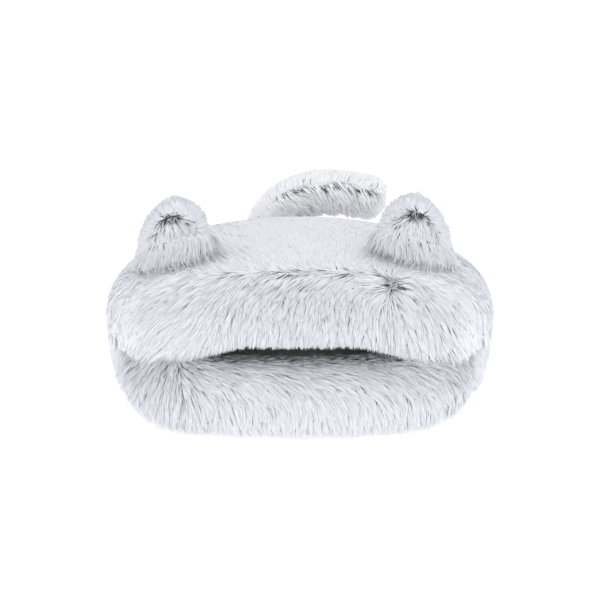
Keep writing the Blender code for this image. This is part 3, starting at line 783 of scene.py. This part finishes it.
for name, (x_low, x_high, how) in BANDS.items():
    columns = np.linspace(x_low, x_high, max(8, int((x_high - x_low) / 0.006)))
    x, way = np.meshgrid(columns, np.linspace(0, 1, 26), indexing="xy")
    outer = face_point(x, way, face_inset(way))
    inner = face_point(x * (FACE_HALF - 0.034) / FACE_HALF, way, HOOD_THICKNESS)
    if how != "bed":
        inner[..., 0] = x
    skin = thick_skin(name + "_skin", outer, inner, BACKING, LINING)
    paint_paleness(skin, pale_of_body)
    move_with(skin, how)
    if name == "face_middle":
        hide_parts("brow_fur_cover", "brow_foam", "brow_lining")
print("face bands:", list(BANDS))

# %% [markdown]
# ## The base
#
# The wall is a stuffed roll that carries the hood. The front roll closes the ring and makes the step into the bed.


# %% The wall's skin
WALL_THICKNESS = HALF_WIDTH - 0.217
wall_turns = np.radians(np.linspace(-40, 220, 120))
wall_turns = wall_turns[plan(wall_turns)[1] > LIP_JOIN_Y - 0.045]


def wall_rings(turns):
    """One ring a turn: down the outer side in twelve steps and up the straight inner side in eight."""
    outside = wall_side(turns[:, None], np.linspace(0, math.pi / 2, 12)[None], CROWN_INSET)
    outside[..., 2] = np.minimum(outside[..., 2], wall_high.z)
    x, y = plan(turns, WALL_THICKNESS - SKIN_INSET + 0.045 * before_join(turns))
    z = np.linspace(wall_low.z + SKIN_INSET, wall_high.z - SKIN_INSET, 8)[None] + 0 * x[:, None]
    return np.concatenate([outside, xyz(x[:, None], y[:, None], z)], 1)


wall = ring_skin("wall_skin", wall_rings(wall_turns), BACKING)
paint_paleness(wall, lambda p: np.full(len(p), 0.9))
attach(wall, "bed")
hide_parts("base_wall_cover", "base_wall_fill")


# %% The front roll's skin
def lip_surface(turn, around, inset=0.0):
    """A squared-off circle of half depth and half height, carried along the front half of a superellipse."""
    depth = (LIP_HALF_DEPTH - inset) * power(np.cos(around), 2 / LIP_SECTION)
    half_height = (LIP_TOP - LIP_FLOOR) / 2 - inset
    z = LIP_LEVEL + half_height * power(np.sin(around), 2 / LIP_SECTION)
    x, y = plan(turn, -depth, LIP_CENTRE_Y, LIP_HALF_WIDTH, LIP_REACH, LIP_REACH, (LIP_POWER, LIP_POWER))
    return xyz(x, y, z)


turns = np.linspace(174.5 * DEG, 365.5 * DEG, 90)
turn, around = np.meshgrid(turns, np.linspace(0, 2 * math.pi, 41)[:-1], indexing="ij")
lip_rings = lip_surface(turn, around, LIP_INSET)
lip_rings[..., 1] = np.minimum(lip_rings[..., 1], LIP_JOIN_Y - 0.0005)
lip = ring_skin("front_roll_skin", lip_rings, BACKING)
paint_paleness(lip, lambda p: np.full(len(p), 0.85))
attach(lip, "bed")
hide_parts("front_lip_cover", "front_lip_fill")

# %% [markdown]
# ## Fur on the hood, the wall and the front roll
#
# Each patch of fur stays under the size that one piece may have, so the body is grown in sectors.


# %% Fur on the crown and the wall
BODY_CENTRE = np.array([0.0, 0.02, 0.06])
BORDER = 38  # degrees up the dome where the fur of the sides meets the fur of the crown


def body_fur(name, low, high, share):
    """Fur between two turns and two levels in degrees, on the hood's crown and the wall, but not on the face."""
    surface = lambda u, v: body_side(u, v, CROWN_INSET)
    u, v = roots(surface, np.radians(low), np.radians(high), share)
    points, normals = with_normals(surface, u, v, BODY_CENTRE)
    on_face = (points[:, 1] < CREST_Y) & (v > 0)
    under_roll = (points[:, 1] < LIP_JOIN_Y - 0.035) & (v <= 0)
    keep = ~(on_face | under_roll)
    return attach(grow(name, points[keep], normals[keep], brush_body, BODY_COAT), "bed")


SECTORS = {"fur_right": (-50, 20), "fur_back_right": (20, 65), "fur_back": (65, 115), "fur_back_left": (115, 160),
           "fur_left": (160, 230)}
for name, (start, stop) in SECTORS.items():
    body_fur(name + "_low", (start, -90), (stop, BORDER), 0.72)
body_fur("fur_crown_right", (-90, BORDER), (90, 90), 0.8)
body_fur("fur_crown_left", (90, BORDER), (270, 90), 0.8)

# %% Fur on the face
FACE_CENTRE = np.array([0.0, -0.03, 0.10])
FACE_PATCHES = {"face_middle_left": (-BLEND_END, 0.0, "brow"), "face_middle_right": (0.0, BLEND_END, "brow"),
                **{k: v for k, v in BANDS.items() if k != "face_middle"}}
for name, (x_low, x_high, how) in FACE_PATCHES.items():
    surface = lambda u, v: face_point(u, v, face_inset(v))
    u, v = roots(surface, (x_low, 0.0), (x_high, 1.0), 1.25)
    u = np.clip(u, -FACE_HALF + 0.002, FACE_HALF - 0.002)
    points, normals = with_normals(surface, u, np.clip(v, 0.002, 0.998), FACE_CENTRE)
    fur = grow(name + "_fur", points, normals, brush_body, BODY_COAT, fringe, lie_on_roll)
    move_with(fur, how)


# %% Fur on the front roll
def under_mouth(points):
    """1 on the top of the roll at the mouth, where it lies in the hood's shade, and 0 from the front edge on. The
    roll's coat darkens its strands there as painted shade.
    """
    back = ease((points[:, 1] + 0.196) / 0.030) * ease((points[:, 2] - 0.055) / 0.01)
    return back * ease((0.165 - np.abs(points[:, 0])) / 0.03)


def left_end(points):
    """1 on the left end of the roll, where the pile is longest, and 0 from 110 mm left of the middle on."""
    return ease((-0.11 - points[:, 0]) / 0.05)


def both_ends(points):
    """1 on both ends of the roll, and 0 within 170 mm of the middle."""
    return ease((np.abs(points[:, 0]) - 0.17) / 0.06)


LIP_COAT = {
    "length": lambda p: 0.025 + 0.006 * left_end(p) * (1 - under_mouth(p)),
    "lift": lambda p: 0.27 + 0.45 * under_mouth(p) - 0.08 * ease((0.035 - p[:, 2]) / 0.03) + 0.14 * left_end(p),
    "width": 0.0011,
    # Painted shade: under the mouth the strands get a lower shade and more dark streaks, standing in for the hood's
    # shadow.
    "shade": lambda p: 0.88 - 0.46 * under_mouth(p) + 0.07 * both_ends(p),
    "streaks": lambda p: 0.040 + 0.10 * under_mouth(p) - 0.025 * both_ends(p),
    "gather": 0.50,
    "fall": 0.05,
}


def lip_centre(points):
    """The point of the roll's centreline in the same direction from its middle: the way there divided by the oval."""
    flat = points[:, :2] - LIP_MIDDLE
    flat = flat / oval(flat[:, 0], flat[:, 1], LIP_HALF_WIDTH, LIP_REACH, LIP_POWER)[:, None]
    return np.concatenate([flat + LIP_MIDDLE, 0 * flat[:, :1] + LIP_LEVEL], 1)


ROLL_PATCHES = {"roll_left_fur": (174.5, 240), "roll_middle_fur": (240, 300), "roll_right_fur": (300, 365.5)}
for name, (start, stop) in ROLL_PATCHES.items():
    surface = lambda u, v: lip_surface(u, v, LIP_INSET)
    u, v = roots(surface, np.radians((start, -72)), np.radians((stop, 172)), 1.1)
    points, normals = with_normals(surface, u, v, lip_centre)
    keep = points[:, 1] < LIP_JOIN_Y
    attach(grow(name, points[keep], normals[keep], brush_lip, LIP_COAT), "bed")

# %% [markdown]
# ## Ears
#
# Each ear is a flat, rounded triangle, filled a little. Its rim is pale. Inside the rim the fur on its front parts
# along a dark arc, and falls from there. The pile round its foot bends between the ear and the hood.

# %% Ear shape and fur
EAR_HALF_WIDTH, EAR_HEIGHT, EAR_HALF_THICKNESS, EAR_SHIFT = 0.056, 0.070, 0.020, 0.015
EAR_FLARE, EAR_INSET, EAR_FOOT = 0.007, 0.0055, 0.022
EAR_WIDTH_POWER, EAR_HEIGHT_POWER, EAR_LEAN_POWER = 1.6, 2.1, 1.2
ARC = 0.42  # how far out the dark arc lies, as a share of the outline


def ear_frame(joint_name):
    """The ear's own axes: along its root, across it, and up its middle."""
    joint = JOINTS[joint_name]
    along = unit(np.array(joint["axis"]))
    across = np.array([0.0, 1.0, 0.0])
    return np.array(joint["pos_m"]), along, across, np.cross(along, across)


def ear_surface(side, place, turn, way, inset=0.0):
    """way runs from 0 at the root, round which the ear is half round, to 1 at the tip. turn goes round the section.
    The half width is (1 - way^2.1)^(1/1.6) of the full one."""
    root, along, across, up = place
    share = np.clip(way, 0, 1)
    flare = EAR_FLARE * ease(1 - np.abs(way + 0.05) / 0.35)
    width = (EAR_HALF_WIDTH - inset) * np.clip(1 - share**EAR_HEIGHT_POWER, 0, 1) ** (1 / EAR_WIDTH_POWER)
    width_share = width / (EAR_HALF_WIDTH - inset)
    depth = (EAR_HALF_THICKNESS - inset) * (1 - 0.45 * share**2) * np.minimum(1.0, 0.35 + 1.3 * width_share)
    below = np.clip(-way, 0, 1) * math.pi / 2
    height = np.where(way < 0, -(EAR_HALF_THICKNESS - inset) * np.sin(below), (EAR_HEIGHT - inset) * share)
    depth = depth * np.where(way < 0, np.cos(below), 1.0)
    u = -side * (EAR_SHIFT * share**EAR_LEAN_POWER + (width + 0.5 * flare) * power(np.cos(turn), 2 / 2.4))
    v = (depth + flare) * power(np.sin(turn), 2 / 2.2)
    return root + u[..., None] * along + v[..., None] * across + height[..., None] * up


def make_ear(name, side, joint_name):
    """One ear: its skin, its fur, and the fur of its foot. side is -1 on the left and 1 on the right."""
    place = root, along, across, up = ear_frame(joint_name)
    turns = np.linspace(0, 2 * math.pi, 41)[:-1]
    ways = np.concatenate([np.linspace(-0.95, -0.1, 6), np.linspace(0, 0.97, 20) ** 0.8, [0.985, 0.995]])
    way, turn = np.meshgrid(ways, turns, indexing="ij")
    skin = ring_skin(name + "_skin", ear_surface(side, place, turn, way, EAR_INSET), BACKING)
    spot = root - side * EAR_SHIFT * 0.7 * along - EAR_HALF_THICKNESS * 0.8 * across + up * (EAR_HEIGHT - 0.024)

    def outline_share(points):
        """0 at the middle of the ear's root and 1 on its outline, by the powers of the outline."""
        height = (points - root) @ up / EAR_HEIGHT
        from_middle = -side * (points - root) @ along - EAR_SHIFT * np.clip(height, 0, 1) ** EAR_LEAN_POWER
        return np.abs(from_middle / EAR_HALF_WIDTH) ** EAR_WIDTH_POWER + np.clip(height, 0, 1) ** EAR_HEIGHT_POWER

    def front_share(points):
        """1 on the ear's front inside the dark arc, 0 on the rim and the back."""
        forward = -(points - root) @ across
        return ease((forward - 0.002) / 0.008) * ease((ARC + 0.05 - outline_share(points)) / 0.08)

    def dark_arc(points):
        """1 just inside the arc, fading towards the middle of the ear and down to its foot."""
        inside = np.clip(ARC + 0.03 - outline_share(points), 0, 1)
        return front_share(points) * bell(inside, 0.17) * ease(((points - root) @ up - 0.006) / 0.024)

    def at_foot(points):
        """1 at the root and 0 from the foot's height on."""
        return ease((EAR_FOOT - (points - root) @ up) / 0.025)

    def brush_ear(points):
        """Front: away from the spot, then down. Rim: out over the edge. Back: down. Foot: down and outwards."""
        away = points - spot
        distance = np.linalg.norm(away, axis=1, keepdims=True)
        front = unit(away) * np.exp(-distance / 0.04) + DOWN * (0.35 + 14 * distance)
        front[:, 0] -= side * 0.35 * ease(-side * away[:, 0] / 0.02)
        centre = root - side * EAR_SHIFT * 0.5 * along + up * 0.012
        rim = unit((points - centre) * np.array([1.0, 0.6, 1.0])) + DOWN * 0.15
        share, foot = front_share(points)[:, None], at_foot(points)[:, None]
        front = unit(front) * (1 - 0.75 * foot) + unit(np.array([side * 0.55, -0.3, -1.0])) * 0.75 * foot
        back = ease((points - root) @ across / 0.006 + 0.3)[:, None]
        rim = unit(rim) * (1 - back) + unit(np.array([side * 0.1, 0.25, -1.0])) * back
        rim = rim * (1 - foot) + unit(np.array([side * 0.35, 0.0, -1.0])) * foot
        return front * share + rim * (1 - share)

    coat = {
        # The ear pile's greyer tips are painted shade.
        "fur": EAR_FUR_PAINTED_SHADE,
        "length": lambda p: 0.010 + 0.008 * front_share(p) + 0.020 * at_foot(p),
        "lift": lambda p: 0.07 + 0.16 * front_share(p) + 0.50 * at_foot(p),
        "width": 0.0010,
        "shade": lambda p: 0.98 - 0.10 * front_share(p) * (1 - at_foot(p)) - 0.46 * dark_arc(p),
        "streaks": lambda p: 0.07 * front_share(p) * (1 - at_foot(p)) + 0.42 * dark_arc(p),
        "gather": lambda p: 0.10 + 0.50 * front_share(p) * (1 - 0.8 * at_foot(p)),
        "fall": 0.03,
    }
    ragged = {**coat, "shortest": 0.25}
    paint_paleness(skin, lambda p: 1.0 - 0.25 * front_share(p) - 0.7 * dark_arc(p))
    surface = lambda u, v: ear_surface(side, place, u, v, EAR_INSET)
    u, v = roots(surface, (0.0, -0.9), (2 * math.pi, 0.985), 2.2)
    points, normals = with_normals(surface, u, np.clip(v, -0.95, 0.98), root + up * 0.01)
    low = (points - root) @ up < EAR_FOOT
    fur = grow(name + "_fur", points[~low], normals[~low], brush_ear, coat, drape=lie_on_hood)
    foot = grow(name + "_foot_fur", points[low], normals[low], brush_ear, ragged, drape=lambda r: lie_on_hood(r, True))
    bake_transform(foot)
    for piece in (skin, fur):
        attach(piece, name)
    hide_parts(name + "_cover", name + "_fill")


make_ear("ear_left", -1, "ear_left_flop")
make_ear("ear_right", 1, "ear_right_flop")

# %% [markdown]
# ## Tail
#
# The tail leaves the back seam, rises and curls to the right. Its fur parts along the front, and lies up and over
# above the parting and down below it.

# %% Tail shape and fur
tail_low, tail_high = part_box("tail_cover")
TAIL_ROOT = np.array(JOINTS["tail_sway"]["pos_m"])
TAIL_RADIUS, TAIL_TIP_RADIUS = 0.031, 0.028
TAIL_RISE, TAIL_REACH = 0.134, 0.190
TAIL_INSET = -0.0025


def tail_line(share):
    """Up a quarter of a sine, across more and more after the first tenth, and a little down at the end."""
    bend = ease((share - 0.05) / 0.52)
    up = TAIL_RISE * np.sin(np.minimum(share / 0.55, 1.0) * math.pi / 2)
    across = TAIL_REACH * np.maximum(0.0, share - 0.10) / 0.90 * bend
    drop = 0.014 * np.maximum(0.0, share - 0.6) ** 1.5 / 0.4**1.5
    return TAIL_ROOT + xyz(across, 0, up - drop)


def tail_axes(share):
    """The line's own direction, straight back, and the direction square to both."""
    ahead = unit(tail_line(np.minimum(share + 0.02, 1)) - tail_line(np.maximum(share - 0.02, 0)))
    back = np.broadcast_to(np.array([0.0, 1.0, 0.0]), ahead.shape)
    return ahead, back, unit(np.cross(ahead, back))


def tail_surface(share, turn, inset=0.0):
    """A circle square to the line, whose ends close as half circles. Turn 0 faces back and a half turn faces front."""
    margin = inset / (TAIL_RISE + TAIL_REACH)
    share = np.clip(share, margin, 1 - margin)
    _, back, other = tail_axes(share)
    ends = np.clip(np.minimum((share - margin) / 0.05, (1 - margin - share) / 0.12), 0, 1)
    radius = (TAIL_RADIUS + (TAIL_TIP_RADIUS - TAIL_RADIUS) * share - inset) * np.sqrt(1 - (1 - ends) ** 2 + 1e-6)
    return tail_line(share) + radius[..., None] * (np.cos(turn)[..., None] * back + np.sin(turn)[..., None] * other)


share = 0.5 - 0.4995 * np.cos(np.linspace(0, math.pi, 70))
share, turn = np.meshgrid(share, np.linspace(0, 2 * math.pi, 33)[:-1], indexing="ij")
tail = ring_skin("tail_skin", tail_surface(share, turn, TAIL_INSET), BACKING)
above = tail_line(0.8)[2] - tail_surface(np.array(0.8), np.array(math.pi / 2))[2]
UPPER = 1.0 if above < 0 else -1.0
PARTING_TURN = math.pi - UPPER * 40 * DEG


def nearest_share(points):
    """The share of the tail's line that is closest to each point."""
    shares = np.linspace(0, 1, 120)
    return shares[nearest(points, tail_line(shares))]


def over_parting(points):
    """How far each point's turn is above (positive) or below the wavy parting, in radians; then its share of the way
    along, the axes there, and its turn."""
    share = nearest_share(points)
    ahead, back, other = tail_axes(share)
    away = points - tail_line(share)
    turn = np.arctan2((away * other).sum(1), (away * back).sum(1)) % (2 * math.pi)
    return -UPPER * (turn - PARTING_TURN + 0.10 * np.sin(share * 21)), share, ahead, other, back, turn


def brush_tail(points):
    """Round the tail, away from the parting on both sides, and leaning towards the tip."""
    over, share, ahead, other, back, turn = over_parting(points)
    around = np.cos(turn)[:, None] * other - np.sin(turn)[:, None] * back
    sign = np.where(over > 0, -UPPER, UPPER)[:, None]
    lean = np.where(over > 0, 0.30, 0.75)[:, None] * ease((share - 0.25) / 0.2)[:, None]
    return unit(around * sign + ahead * lean + DOWN * 0.25 * (over < 0)[:, None])


def near_parting(points):
    """1 just below the parting, a bell further down, and 0 above it, from a third of the way along to the tip."""
    over, share, *_ = over_parting(points)
    under = ease((-0.01 - over) / 0.10) * bell(np.minimum(over + 0.12, 0), 0.30)
    return under * ease((share - 0.30) / 0.12) * ease((0.97 - share) / 0.10)


def below(points):
    """1 below the parting and 0 above it, only where the tail lies across, fading out at the tip."""
    over, share, *_ = over_parting(points)
    return ease(0.5 - over / 0.2) * ease((share - 0.30) / 0.12) * ease((0.99 - share) / 0.15)


TAIL_COAT = {
    # The tail pile's whiter tips are painted light.
    "fur": TAIL_FUR_PAINTED_LIGHT,
    "length": lambda p: 0.012 + 0.010 * below(p),
    "lift": lambda p: 0.11 + 0.09 * below(p),
    "width": 0.0010,
    "shade": lambda p: 0.97 - 0.42 * near_parting(p),
    "streaks": lambda p: 0.01 + 0.05 * below(p) + 0.28 * near_parting(p),
    "gather": lambda p: 0.20 + 0.40 * below(p),
    "fall": 0.02,
}
paint_paleness(tail, lambda p: 0.92 - 0.70 * near_parting(p))
surface = lambda u, v: tail_surface(u, v, TAIL_INSET)
u, v = roots(surface, (0.004, 0.0), (0.9985, 2 * math.pi), 1.3)
points, normals = with_normals(surface, np.clip(u, 0.006, 0.9975), v, lambda p: tail_line(nearest_share(p)))
tail_fur = grow("tail_fur", points, normals, brush_tail, TAIL_COAT)
for piece in (tail, tail_fur):
    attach(piece, "tail")
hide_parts("tail_cover", "tail_fill")
print("tail", [round(v, 3) for v in tail_high - tail_low])

# %% [markdown]
# ## Inside: the floor pad and the loose cushion
#
# The floor is a foam pad in plush. On it lies the loose cushion, crowned on top, flat below, and cut straight at the
# back for its zip.


# %% Floor pad and cushion
def pillow(name, low, high, rear, powers, crown, edge, material):
    """A closed pad: its top falls by the crown towards a half round edge, its underside is flat, and the front and
    back are cut straight where the outline passes the box."""
    turns = np.linspace(0, 2 * math.pi, 145)[:-1]
    top = [(share, high.z - crown * share**2.5) for share in (0.02, 0.2, 0.4, 0.6, 0.75, 0.88, 0.95)]
    bend = np.linspace(90, -90, 9)
    middle, radius = (high.z - crown + low.z) / 2, (high.z - crown - low.z) / 2
    side = [(1 - edge * (1 - math.cos(a * DEG)), middle + radius * math.sin(a * DEG)) for a in bend]
    levels = top + side + [(0.7, low.z), (0.02, low.z)]
    rings = []
    for share, z in levels:
        x, y = plan(turns, 0, 0, high.x, -low.y, rear, powers)
        x, y = x * share, np.minimum(y * share, high.y - 0.004 * (1 - min(share, 1.0)))
        rings.append(xyz(x, y, z))
    return ring_skin(name, np.array(rings), material)


cushion_low, cushion_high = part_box("cushion_cover")
CUSHION_PLUSH = plush_material("cushion plush", (0.60, 0.61, 0.64), (0.80, 0.81, 0.84))
CUSHION_REAR = REAR - WALL_THICKNESS - 0.022
cushion = pillow("cushion", cushion_low, cushion_high, CUSHION_REAR, (1.9, 2.3), 0.006, 0.035, CUSHION_PLUSH)
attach(cushion, "cushion")
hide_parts("cushion_cover", "cushion_fill")

pad_low, pad_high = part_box("floor_foam")
pad = pillow("floor_pad", pad_low, pad_high, pad_high.y, (2.4, 2.2), 0.001, 0.02, LINING)
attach(pad, "bed")
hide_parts("floor_foam")
print("cushion", [round(v, 3) for v in cushion_high - cushion_low])

# %% [markdown]
# ## Finishes for the parts kept as the CAD has them
#
# The underside is a non-slip cloth: a grey plain weave with rubber dots in rows. The zip has ribbed tape, moulded
# teeth and a plated slider. The care label is a white satin ribbon with no writing.


# %% Cloth, zip and label finishes
def woven_material(name, low, high, threads, rough, dots=None):
    """Two crossed sets of waves make the threads; dots, when given, are raised round spots at this pitch."""
    made, tree, shader = new_material(name)
    place = add(tree, "TexCoord", {}).outputs["Object"]
    weave = tree.nodes.new("ShaderNodeMath")
    weave.operation = "MAXIMUM"
    for i, direction in enumerate("XY"):
        wave = add(tree, "TexWave", {"Vector": place, "Scale": threads, "Distortion": 0.6})
        wave.bands_direction = direction
        feed(tree, weave, {i: wave.outputs["Fac"]})
    height = weave.outputs[0]
    colour = ramp(tree, height, [(0.25, low), (0.95, high)])
    if dots:
        cells = add(tree, "TexVoronoi", {"Vector": place, "Scale": 1 / dots, "Randomness": 0.0})
        spot = ramp(tree, cells.outputs["Distance"], [(0.30, (1, 1, 1)), (0.36, (0, 0, 0))])
        colour = mixed(tree, spot, colour, (0.74, 0.75, 0.77))
        height = times_plus(tree, spot, 2.0, height)
    feed(tree, shader, {"Base Color": colour, "Normal": bump(tree, height, 0.5, 0.0006), "Roughness": rough})
    return made


def moulded_material(name, low, high, rough, metal):
    """Nylon or plated metal: tone and roughness both wander with a fine noise, as on small worn hardware."""
    made, tree, shader = new_material(name)
    wear = noise(tree, 420, 5)
    wander = add(tree, "MapRange", {"Value": wear, "To Min": rough - 0.08, "To Max": rough + 0.1})
    feed(tree, shader, {"Base Color": ramp(tree, wear, [(0.35, low), (0.65, high)]),
                        "Roughness": wander.outputs[0], "Metallic": metal})
    return made


NONSLIP = woven_material("non-slip dotted cloth", (0.34, 0.35, 0.37), (0.52, 0.53, 0.55), 260, 0.85, dots=0.008)
TAPE = woven_material("zip tape", (0.55, 0.56, 0.58), (0.78, 0.79, 0.81), 700, 0.7)
RIBBON = woven_material("label ribbon", (0.78, 0.78, 0.76), (0.90, 0.90, 0.88), 900, 0.45)
NYLON = moulded_material("nylon teeth", (0.70, 0.71, 0.73), (0.82, 0.83, 0.85), 0.4, 0.0)
PLATED = moulded_material("plated metal", (0.55, 0.55, 0.57), (0.72, 0.72, 0.74), 0.28, 1.0)
FINISHES = {
    "base_bottom_fabric": NONSLIP, "care_label": RIBBON,
    "zip_tape_upper": TAPE, "zip_tape_lower": TAPE, "zip_teeth_upper": NYLON, "zip_teeth_lower": NYLON,
    "zip_stop_closed": PLATED, "zip_stop_open": PLATED, "zip_slider": PLATED, "zip_pull": PLATED,
}
for node, finish in FINISHES.items():
    for place in frame["nodes"][node].material_slots:
        place.material = finish
print("finished", len(FINISHES), "kept nodes")

# %% [markdown]
# ## Light, floor and camera
#
# The bed stands on a pale floor that gives off a little light and fades into a white room. One large soft light from in
# front, a little above, gives the pile its shape.

# %% Floor, world, lamp and camera
floor_mesh = bpy.data.meshes.new("floor")
floor_mesh.from_pydata([(-6, -6, -0.0002), (6, -6, -0.0002), (6, 6, -0.0002), (-6, 6, -0.0002)], [], [(0, 1, 2, 3)])
floor = bpy.data.objects.new("floor", floor_mesh)
bpy.context.scene.collection.objects.link(floor)
floor_paint, floor_tree, floor_shader = new_material("pale floor")
feed(floor_tree, floor_shader, {"Base Color": (0.93, 0.93, 0.93, 1), "Roughness": 0.9,
                                "Emission Color": (1, 1, 1, 1), "Emission Strength": 0.45})
floor_mesh.materials.append(floor_paint)

world = bpy.data.worlds.new("white room")
bpy.context.scene.world = world
world.use_nodes = True
feed(world.node_tree, world.node_tree.nodes["Background"], {"Color": (1, 1, 1, 1), "Strength": 1.03})

key = bpy.data.lights.new("key", "AREA")
key.shape, key.size, key.energy = "DISK", 1.8, 15
key_holder = bpy.data.objects.new("key", key)
bpy.context.scene.collection.objects.link(key_holder)
key_holder.location = (0.35, -2.8, 1.0)
key_holder.rotation_euler = (Vector((0, 0, 0.1)) - key_holder.location).to_track_quat("-Z", "Y").to_euler()
bpy.context.scene.view_settings.view_transform = "Standard"

CAMERA_TARGET = np.array([0.0, 0.0, 0.112])
CAMERA_DISTANCE, CAMERA_ELEVATION = 2.4, math.radians(20)
camera_data = bpy.data.cameras.new("camera")
camera_data.lens = 100.3
camera = bpy.data.objects.new("camera", camera_data)
bpy.context.scene.collection.objects.link(camera)
towards_camera = np.array([0, -math.cos(CAMERA_ELEVATION), math.sin(CAMERA_ELEVATION)])
camera.location = CAMERA_TARGET + CAMERA_DISTANCE * towards_camera
camera.rotation_euler = (math.pi / 2 - CAMERA_ELEVATION, 0, 0)
bpy.context.scene.camera = camera
